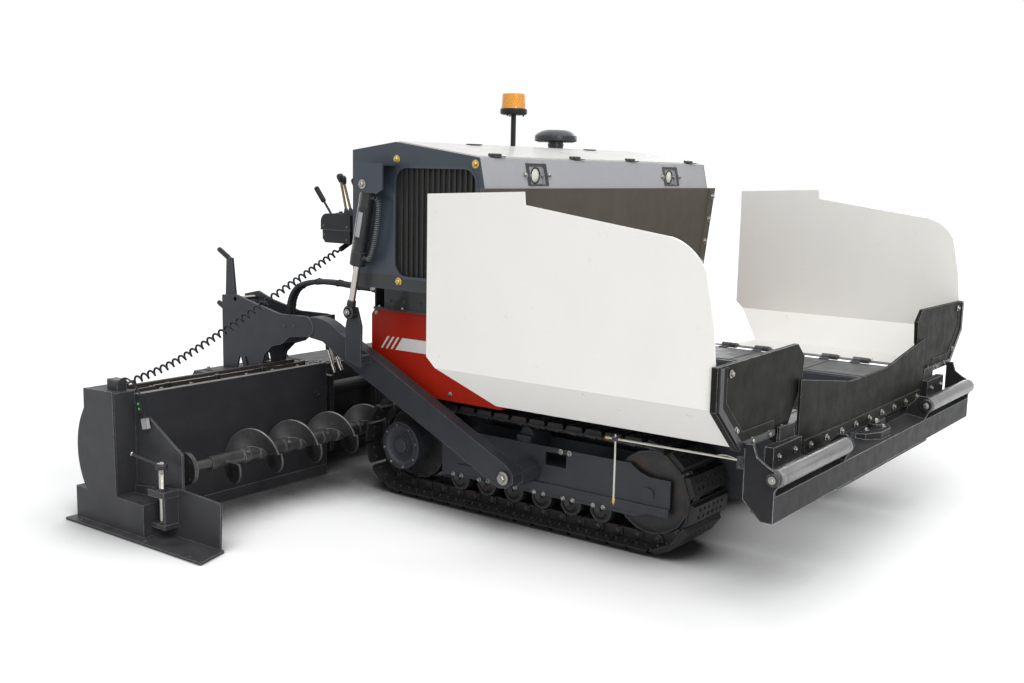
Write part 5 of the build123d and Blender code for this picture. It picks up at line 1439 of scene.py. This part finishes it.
def makeLifts():
    for side, sign in sides:
        y, tube = sign * lift["out"], lift["barrel"]
        top = Vector((lift["top"][0], y, lift["top"][1]))
        eye = Vector((lift["eye"][0], y, lift["eye"][1]))
        way, length = (eye - top).normalized(), (eye - top).length
        across = Vector(leftward).cross(way).normalized()
        if across.x < 0:
            across = -across
        outward = Vector((0, sign, 0))

        bm = bmesh.new()
        addBarrel(bm, top, way, across, outward)
        piece = makePiece(side + "LiftBarrel", bm, "blackPaint", side + "_lift_barrel", 40)
        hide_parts(side + "_lift_barrel")

        bm, guard, bright = bmesh.new(), bmesh.new(), bmesh.new()
        high, low = (top + way * reach + across * 0.061 for reach in lift["ports"])
        bend = across * 0.036
        addHose(bm, guard, bowed(low, low + bend + way * 0.01, high + bend - way * 0.01, high), 0.0090, 30)
        pipe = top - across * (tube + 0.005) + outward * 0.012
        addTube(bright, [pipe + way * reach for reach in (0.05, 0.10, 0.15, 0.20, 0.25, 0.30, 0.35, 0.385)],
                0.0042, 10)
        for reach in (0.12, 0.27):
            addRing(bm, top + way * reach, way, [(0, tube + 0.0003), (0, tube + 0.0022),
                                                 (0.015, tube + 0.0022), (0.015, tube + 0.0003)], 40)
        makePiece(side + "LiftHose", bm, "hoseRubber", side + "_lift_barrel", 40)
        makePiece(side + "LiftGuard", guard, "spiralGuard", side + "_lift_barrel", 40)
        makePiece(side + "LiftPipe", bright, "zincBolt", side + "_lift_barrel", 40)
        bm = bmesh.new()
        addBarrelPlate(bm, top, way, across, outward)
        makePiece(side + "LiftPlate", bm, "bandGrey", side + "_lift_barrel", 40)

        bm = bmesh.new()
        addTurned(bm, top, way, [(lift["start"], lift["rod"] - 0.001), (lift["start"] + 0.001, lift["rod"]),
                                 (length - 0.052, lift["rod"])], 36)
        rod = makePiece(side + "LiftRod", bm, "chrome", side + "_lift_rod", 40)
        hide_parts(side + "_lift_rod")
        bm = bmesh.new()
        addTurned(bm, top, way, [(length - 0.064, 0.0175), (length - 0.062, 0.022), (length - 0.036, 0.024),
                                 (length - 0.030, 0.020)], 32)
        addRing(bm, eye - outward * 0.0178, outward, lift["lowEye"], 40)
        addTurned(bm, eye - across * 0.0325, -across, lift["grease"], 12)
        clevis = makePiece(side + "LiftEye", bm, "blackPaint", side + "_lift_rod", 40)
        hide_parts(side + "_lift_rod")


makeLifts()
print("lift cylinders")


# Consoles

console = {
    "y": 0.820, "half": 0.100, "rear": -0.830, "front": -0.610, "seam": 1.380, "top": 1.4665,
    "levers": ((0.070, 0.062, 1.662), (0.030, 0.080, 1.650), (-0.020, 0.044, 1.640), (-0.065, 0.058, 1.628)),
    "root": (-0.650, 1.420),
    "boot": [(0, 0.024), (0.003, 0.0235), (0.004, 0.020)],
    "knob": [(0, 0.0080), (0.002, 0.0115), (0.014, 0.0150), (0.028, 0.0190), (0.038, 0.0180),
             (0.045, 0.0120), (0.047, 0.0)],
    "grip": ((-0.845, 1.528), (-0.905, 1.600)),
    "screws": ((-0.808, 1.400), (-0.632, 1.400), (-0.808, 1.352), (-0.640, 1.330)),
}


def addLever(rubber, bright, y, lean, tip):
    # a rod with a knob, out of a folded boot
    x, low = console["root"]
    start, end = Vector((x, y, low)), Vector((x - lean, y, tip))
    base = start.lerp(end, (console["top"] - low) / (tip - low))
    way = (end - base).normalized()
    folds = [(0, 0.019)]
    for fold in range(4):
        folds += [(0.003 + 0.008 * fold, 0.0185 - 0.0028 * fold),
                  (0.0065 + 0.008 * fold, 0.0155 - 0.0026 * fold)]
    addTurned(rubber, base, way, folds, 20)
    addTurned(rubber, base - Vector((0, 0, 0.001)), upward, console["boot"], 24)
    addRod(bright, base + way * 0.030, end - way * 0.010, 0.0070, 14)
    addTurned(rubber, end - way * 0.030, way, console["knob"], 24)


def makeConsoles():
    rear, front, seam = console["rear"], console["front"], console["seam"]
    for side, sign in sides:
        dark, bright, rubber = bmesh.new(), bmesh.new(), bmesh.new()
        middle, outer = sign * console["y"], sign * (console["y"] + console["half"])
        y0, y1 = middle - console["half"], middle + console["half"]
        addLoopPlate(dark, rectangle(rear - 0.0015, front + 0.0015, y0 - 0.0015, y1 + 0.0015),
                     rectangle(rear + 0.004, front - 0.004, y0 + 0.004, y1 - 0.004),
                     seam - 0.002, seam + 0.002, "z")
        for x, z in console["screws"]:
            inset = 0.0 if z > seam else sign * 0.007
            addTurned(bright, (x, outer - inset, z), (0, sign, 0),
                      [(0, 0.0058), (0.002, 0.0056), (0.003, 0.0040), (0.0032, 0.0)], 12)
        for across, lean, tip in console["levers"]:
            addLever(rubber, bright, sign * (console["y"] + across), lean, tip)
        start, end = (Vector((x, outer - sign * 0.040, z)) for x, z in console["grip"])
        way = (end - start).normalized()
        for ring in range(10):
            addTurned(rubber, start + way * (0.006 + 0.0085 * ring), way,
                      [(0, 0.0132), (0.001, 0.0146), (0.004, 0.0146), (0.005, 0.0132)], 20)
        for y in (middle - 0.055, middle + 0.055):
            addBox(dark, -0.745, -0.700, y - 0.018, y + 0.018, 1.4655, 1.4712, 0.0015)
            addTurned(rubber, (-0.722, y, 1.4705), upward,
                      [(0, 0.011), (0.006, 0.0105), (0.008, 0.009), (0.0085, 0.0)], 18)
        makePiece(side + "ConsoleSeams", dark, "blackPaint", "tractor", 30)
        makePiece(side + "ConsoleLevers", bright, "leverBronze", "tractor", 40)
        makePiece(side + "ConsoleRubber", rubber, "hoseRubber", "tractor", 40)


makeConsoles()
print("consoles")


# Tow arms and screed

arm = {
    "outer": 1.045,
    "pivot": 1.150,
    "bolts": ((-0.984, 0.848), (-0.909, 0.856)),
    "grips": (((-1.470, 1.188), (-1.558, 1.2350)), ((-1.478, 0.884), (-1.570, 0.9290))),
    "fittings": (((-0.771, 0.742), (-0.717, 0.610)), ((-0.707, 0.710), (-0.666, 0.629))),
    "fittingY": 0.930,
    "hang": (-0.779, 0.812),  # on the arm's cross plate
    "eye": (-0.380, 0.990),
}


def makeArmWelds(side, sign):
    bm = bmesh.new()
    face, inner = sign * (arm["outer"] + 0.0005), sign * (arm["outer"] - 0.016)
    bead = bowed((-0.825, face, 0.9180), (-0.745, face, 0.9080), (-0.742, face, 0.8180),
                 (-0.798, face, 0.8110), 40)
    addTube(bm, [point + Vector((0.0012 * (index % 2), 0, 0)) for index, point in enumerate(bead)], 0.0045, 8)
    for x in (-1.385, -1.400):
        addTube(bm, [(x, inner, 0.94 - 0.28 * step / 12) for step in range(13)], 0.004, 8)
    lugY = sign * (arm["pivot"] - 0.035)
    addTube(bm, [(-0.420 + 0.08 * step / 6, lugY, 0.7265) for step in range(7)], 0.005, 8)
    makePiece(side + "ArmWelds", bm, "weld", "screed", 40)


def addHoseEnd(rubber, bright, first, last, hang):
    # a bright fitting on a rubber tail
    way, run = (last - first).normalized(), (last - first).length
    addTurned(bright, first, way, [(0, 0.0075), (run - 0.05, 0.0075), (run - 0.048, 0.0105),
                                   (run - 0.012, 0.0105), (run - 0.010, 0.0085), (run, 0.0085)], 18)
    tail = first - hang
    addTurned(rubber, hang, tail, [(0, 0.0105), (tail.length + 0.012, 0.0105)], 14)


def makeArms():
    for side, sign in sides:
        makeArmWelds(side, sign)
        bolts, rubber, bright, small = (bmesh.new() for _ in range(4))
        for x, z in arm["bolts"]:
            addBolt(small, (x, sign * (arm["outer"] + 0.0005), z), (0, sign, 0), 0.012)
        addBolt(bolts, (-1.456, sign * (arm["outer"] - 0.0355), 0.915), (0, sign, 0), 0.030)
        x, z = arm["eye"]
        addBolt(bolts, (x, sign * (arm["pivot"] + 0.0223), z), (0, sign, 0), 0.022)
        addTurned(bolts, (x, sign * (arm["pivot"] - 0.0215), z), (0, sign, 0),
                  [(0, 0.020), (0.003, 0.020)], 24)
        crank = sign * (arm["outer"] - 0.028)
        for ends in arm["grips"]:
            first, last = (Vector((x, crank, z)) for x, z in ends)
            run = (last - first).length
            addTurned(rubber, first, last - first,
                      [(0, 0.0132), (0.004, 0.0148), (run - 0.004, 0.0148), (run, 0.0120)], 24)
        for ends in arm["fittings"] if side == "right" else ():
            first, last, hang = (Vector((x, sign * arm["fittingY"], z)) for x, z in (*ends, arm["hang"]))
            addHoseEnd(rubber, bright, first, last, hang)
        addRod(bright, (-1.392, sign * 0.885, 0.965), (-1.392, sign * 1.045, 0.965), 0.012, 20)
        makePiece(side + "ArmBolts", bolts, "zincBolt", "screed", 30)
        makePiece(side + "ArmScrews", small, "darkBolt", "screed", 30)
        makePiece(side + "ArmGrips", rubber, "hoseRubber", "screed", 40)
        makePiece(side + "ArmFittings", bright, "chrome", "screed", 40)


makeArms()

screed = {
    "half": 1.220, "rear": -1.600, "walk": 0.360, "edge": -2.033,
    "tread": {"rows": 17, "columns": 96, "long": 0.0095, "wide": 0.0030, "high": 0.0022},
    "covers": ((0.03, 0.58), (0.62, 1.17)),
    "lid": 0.5645,
}


def makeTread():
    # raised lozenges on the walkway, turned one way and the other
    tread, walk = screed["tread"], screed["walk"]
    depth = screed["rear"] - screed["edge"] - 0.030
    bm = bmesh.new()
    for row in range(tread["rows"]):
        for column in range(tread["columns"]):
            x = screed["edge"] + 0.016 + (row + 0.5) * depth / tread["rows"]
            y = screed["half"] * (2 * (column + 0.5) / tread["columns"] - 1)
            turn = radians(45 if (row + column) % 2 else -45)
            ends = [(a * cos(turn) - b * sin(turn), a * sin(turn) + b * cos(turn)) for a, b in
                    ((-tread["long"], 0), (0, -tread["wide"]), (tread["long"], 0), (0, tread["wide"]))]
            addSkin(bm, [[(x + a * share, y + b * share, walk + height) for a, b in ends]
                         for share, height in ((1, 0.0002), (0.6, tread["high"]))])
    makePiece("walkwayTread", bm, "treadPlate", "screed", 0)


def makeScreedDetails():
    covers, bolts, bright = bmesh.new(), bmesh.new(), bmesh.new()
    lid = screed["lid"]
    for _, sign in sides:
        for cover in screed["covers"]:
            near, far = span(sign, *cover)
            addBox(covers, -1.525, -1.195, near, far, 0.5603, lid, 0.0015)
            addBox(covers, -1.6045, -1.6003, near, far, 0.385, 0.470, 0.0015)
            for x in (-1.505, -1.215):
                for y in (near + 0.02, far - 0.02):
                    addBolt(bolts, (x, y, lid + 0.0001), upward, 0.020)
            for y in (near + 0.03, far - 0.03):
                addBolt(bolts, (-1.6046, y, 0.4275), (-1, 0, 0), 0.020)
            middle = (near + far) / 2
            addTube(bright, [(-1.30, middle + y, lid + z) for y, z in
                             ((-0.06, 0.0005), (-0.06, 0.0255), (-0.05, 0.0325),
                              (0.05, 0.0325), (0.06, 0.0255), (0.06, 0.0005))], 0.005, 10)
        for z in (0.12, 0.28, 0.44):
            for x in (-1.545, -1.225):
                addBolt(bolts, (x, sign * 1.2203, z), (0, sign, 0), 0.024)
        for y in (0.315, 0.695):
            for z in (0.19, 0.44):
                addRing(covers, (-1.050, sign * (y + 0.0153), z), (0, sign, 0),
                        [(0, 0.0408), (0, 0.058), (0.008, 0.058), (0.008, 0.0408)], 36)
        for y in (0.15, 0.55, 0.95):
            addBox(covers, -1.1648, -1.1595, *span(sign, y - 0.012, y + 0.012), 0.05, 0.53, 0.001)
    addBox(covers, -1.6035, -1.6003, -1.21, 1.21, 0.004, 0.036, 0.001)
    makePiece("screedCovers", covers, "screedDark", "screed", 30)
    makePiece("screedBolts", bolts, "zincBolt", "screed", 30)
    makePiece("screedHandles", bright, "chrome", "screed", 40)


makeTread()
makeScreedDetails()
print("arms and screed")


# Extensions and end gates

wing = {
    "rail": 0.604, "front": -0.870, "inner": 0.845, "outer": 2.065,
    "rod": ((1.93, 0.650), (1.60, 0.648), (1.20, 0.648), (0.93, 0.648)),
    "plug": [(0, 0.020), (0.003, 0.020), (0.004, 0.017), (0.004, 0.010), (0.002, 0.008), (0.002, 0.0)],
}


def makeExtensionDetails():
    for side, sign in sides:
        dark, bolts, bright, worn = (bmesh.new() for _ in range(4))
        for step in range(7):
            for x, size in ((-1.010, 0.022), (-1.095, 0.018)):
                addBolt(bolts, (x, sign * (0.93 + 0.18 * step), wing["rail"] + 0.0002), upward, size)
        addBox(worn, wing["front"] + 0.0002, wing["front"] + 0.0032,
               *span(sign, wing["inner"] + 0.004, wing["outer"] - 0.004), 0.002, 0.060, 0.0008)
        for z in (0.470, 0.350):
            addTurned(dark, (wing["front"] + 0.0002, sign * 0.915, z), forward, wing["plug"], 24)
        addTube(bright, [(-0.930, sign * y, z) for y, z in wing["rod"]], 0.0045, 10)
        for y in (0.97, 1.25, 1.55, 1.85):
            addBox(dark, -0.944, -0.916, *span(sign, y - 0.014, y + 0.014), 0.620, 0.656, 0.002)
        makePiece(side + "RailBolts", bolts, "zincBolt", side + "_extension", 30)
        makePiece(side + "RailClips", dark, "blackPaint", side + "_extension", 30)
        makePiece(side + "RailRod", bright, "chrome", side + "_extension", 40)
        makePiece(side + "WearStrip", worn, "screedDark", side + "_extension", 30)


makeExtensionDetails()

endGate = {
    "plate": 2.077,
    "bolts": ((-0.940, 0.550, 0.026), (-0.940, 0.440, 0.026), (-0.835, 0.590, 0.014)),
    "screw": (-0.605, 2.135),
    "handle": (-0.800, 2.150, 0.374),
    "collar": [(0, 0.0265), (0.003, 0.0285), (0.020, 0.0285), (0.026, 0.023)],
    "nut": [(0, 0.021), (0.006, 0.020), (0.010, 0.013), (0.011, 0.0)],
    "guide": [(0, 0.0160), (0, 0.026), (0.008, 0.026), (0.008, 0.0160)],
    "cup": [(0, 0.013), (0.002, 0.012), (0.002, 0.006), (0.0005, 0.005), (0.0005, 0.0)],
    "tip": [(0, 0.0105), (0.004, 0.0125), (0.010, 0.0105), (0.011, 0.0)],
}
pendant = {
    "place": (-0.792, -2.094, 0.590),
    "lean": -14,
    "case": ((0.056, 0.034, 0.104), (0, 0, 0)),  # size, then shift from the middle
    "panel": ((0.044, 0.004, 0.072), (0, -0.0182, 0.008)),
    "plug": ((0.038, 0.022, 0.054), (0, 0, -0.078)),
    "wire": ((-0.804, -2.094, 0.640), (-0.85, -2.10, 0.71), (-0.88, -2.12, 0.735), (-0.915, -2.125, 0.7045)),
}


def addJackScrew(dark, bright, sign):
    x, y = endGate["screw"][0], sign * endGate["screw"][1]
    thread = [(0.0, 0.0138)]
    for step in range(20):
        z = 0.182 + 0.0055 * step
        thread += [(z, 0.0140), (z + 0.0014, 0.0152), (z + 0.0028, 0.0152), (z + 0.0042, 0.0140)]
    thread += [(0.293, 0.0140), (0.2935, 0.0)]
    addTurned(bright, (x, y, 0.060), upward, thread, 24)
    addTurned(dark, (x, y, 0.334), upward, endGate["collar"], 28)
    addTurned(bright, (x, y, 0.3600), upward, endGate["nut"], 20)
    endX, endY, endZ = endGate["handle"]
    start, end = Vector((x, y, 0.350)), Vector((endX, sign * endY, endZ))
    way = (end - start).normalized()
    addTurned(dark, start + way * 0.024, way, [(0, 0.0105), (0.165, 0.0098)], 18)
    addTurned(bright, end - way * 0.004, way, endGate["tip"], 18)
    for z in (0.235, 0.080):
        addRing(dark, (x, y, z), upward, endGate["guide"], 28)


def addPendant(case, dark, bolts):
    # the hand box on the right end gate, with its wire and the plate of the junction box
    place = Matrix.Translation(pendant["place"]) @ Matrix.Rotation(radians(pendant["lean"]), 4, "Y")
    plug, glow = bmesh.new(), bmesh.new()
    for key, target in (("case", case), ("panel", dark), ("plug", plug)):
        size, shift = pendant[key]
        part = bmesh.new()
        addBox(part, *(value for length in size for value in (-length / 2, length / 2)), 0.002)
        bmesh.ops.transform(part, matrix=place @ Matrix.Translation(shift), verts=part.verts)
        mergeInto(target, part)
    for shift in (-0.006, 0.018):
        addTurned(glow, place @ Vector((0, -0.0203, shift)), (0, -1, 0),
                  [(0, 0.0055), (0.003, 0.0050), (0.004, 0.0)], 16)
    makePiece("pendantPlates", plug, "bandGrey", "right_extension", 30)
    makePiece("pendantButtons", glow, "greenLight", "right_extension", 40)
    addTube(case, bowed(*pendant["wire"]), 0.0045, 10)
    addBox(dark, -0.985, -0.905, -2.150, -2.098, 0.7042, 0.7082, 0.0015)
    for x in (-0.975, -0.915):
        for y in (-2.143, -2.105):
            addTurned(bolts, (x, y, 0.7080), upward, [(0, 0.0040), (0.002, 0.0036), (0.0021, 0.0)], 10)


def makeEndGates():
    for side, sign in sides:
        dark, bolts, bright = bmesh.new(), bmesh.new(), bmesh.new()
        for x, z, size in endGate["bolts"]:
            addBolt(bolts, (x, sign * (endGate["plate"] + 0.0003), z), (0, sign, 0), size)
        addJackScrew(dark, bright, sign)
        addBox(dark, -0.990, -0.978, *span(sign, 2.0772, 2.0950), 0.235, 0.330, 0.002)
        addBolt(bolts, (-1.050, sign * 2.145, 0.1653), upward, 0.022)
        for x in (-1.120, -0.620, -0.300):
            addTurned(dark, (x, sign * 2.222, 0.0121), upward, endGate["cup"], 18)
        if side == "right":
            case = bmesh.new()
            addPendant(case, dark, bolts)
        makePiece(side + "GateCollars", dark, "blackPaint", side + "_extension", 30)
        makePiece(side + "GateFasteners", bolts, "zincBolt", side + "_extension", 30)
        makePiece(side + "GateScrew", bright, "chrome", side + "_extension", 40)
        if side == "right":
            makePiece("pendant", case, "blackPlastic", "right_extension", 30)


makeEndGates()
print("extensions and end gates")


# Side boxes and guide rod

box = {
    "face": 0.930,
    "low": 0.785, "high": 0.851,
    "stripes": (-0.374, -0.340, -0.306),
    "lean": 0.048,
    "width": 0.013,
    "field": (-0.272, -0.060),
}


def makeSideBoxDetails():
    low, high, lean = box["low"], box["high"], box["lean"]
    marks = [(x, x + box["width"]) for x in box["stripes"]]
    for side, sign in sides:
        bm, bolts = bmesh.new(), bmesh.new()
        near, far = span(sign, box["face"] + 0.0002, box["face"] + 0.0012)
        for x0, x1 in marks:
            addPlate(bm, [(x0, low), (x1, low), (x1 + lean, high), (x0 + lean, high)], near, far, "y")
        x0, x1 = box["field"]
        addPlate(bm, [(x0, low), (x1, low), (x1, high), (x0 + lean, high)], near, far, "y")
        makePiece(side + "BoxStripes", bm, "blankWhite", "tractor", 0)
        for x, z in ((-0.405, 0.965), (-0.30, 0.600), (0.10, 0.600), (0.40, 0.600), (0.40, 0.965)):
            addBolt(bolts, (x, sign * (box["face"] + 0.0003), z), (0, sign, 0), 0.015)
        for x in (-0.36, -0.20, 0.0, 0.2):
            addBolt(bolts, (x, sign * 0.956, 1.0023), upward, 0.018, washer=False)
        makePiece(side + "BoxBolts", bolts, "zincBolt", "tractor", 30)


makeSideBoxDetails()

guide = {
    "y": -1.300, "z": 0.628, "rear": 1.252, "front": 1.848, "pointer": 1.297, "low": 0.343,
    "tip": [(0, 0.0), (0.010, 0.0032), (0.014, 0.0062), (0.034, 0.0062), (0.036, 0.0046)],
    "cap": [(-0.020, 0.0064), (-0.004, 0.0064), (0.0, 0.0050)],
    "knob": [(0, 0.0035), (0.016, 0.0035), (0.017, 0.006), (0.022, 0.006)],
    "wire": ((1.842, 0.636), (1.790, 0.650), (1.770, 0.640), (1.755, 0.634)),
}


def makeGuideRod():
    bm, brass, dark = bmesh.new(), bmesh.new(), bmesh.new()
    y, z, pointer = guide["y"], guide["z"], guide["pointer"]
    addRod(bm, (guide["rear"], y, z), (guide["front"], y, z + 0.006), 0.0050, 16)
    addRod(bm, (pointer, y, guide["low"] + 0.032), (pointer, y, 0.648), 0.0046, 16)
    addTurned(brass, (pointer, y, guide["low"]), upward, guide["tip"], 18)
    addTurned(brass, (guide["rear"] - 0.004, y, z), (-1, 0, 0), guide["cap"], 18)
    addBox(dark, pointer - 0.012, pointer + 0.012, y - 0.0115, y + 0.0115, 0.620, 0.637, 0.002)
    addTurned(brass, (pointer + 0.012, y, 0.6285), forward, guide["knob"], 12)
    addBox(dark, 1.8452, 1.8715, y - 0.005, y + 0.0045, 0.601, 0.649, 0.0015)
    for boltZ in (0.611, 0.641):
        addBolt(dark, (1.8585, y - 0.0052, boltZ), (0, -1, 0), 0.011, washer=False)
    addTube(bm, bowed(*((x, y, wireZ) for x, wireZ in guide["wire"]), 12), 0.0022, 8)
    rod = makePiece("guideRail", bm, "chrome", "tractor", 40)
    tip = makePiece("guideTips", brass, "brass", "tractor", 40)
    clamp = makePiece("guideClamps", dark, "blackPaint", "tractor", 30)
    for piece in (rod, tip, clamp):
        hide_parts("guide_rod")


makeGuideRod()
print("side boxes and guide rod")
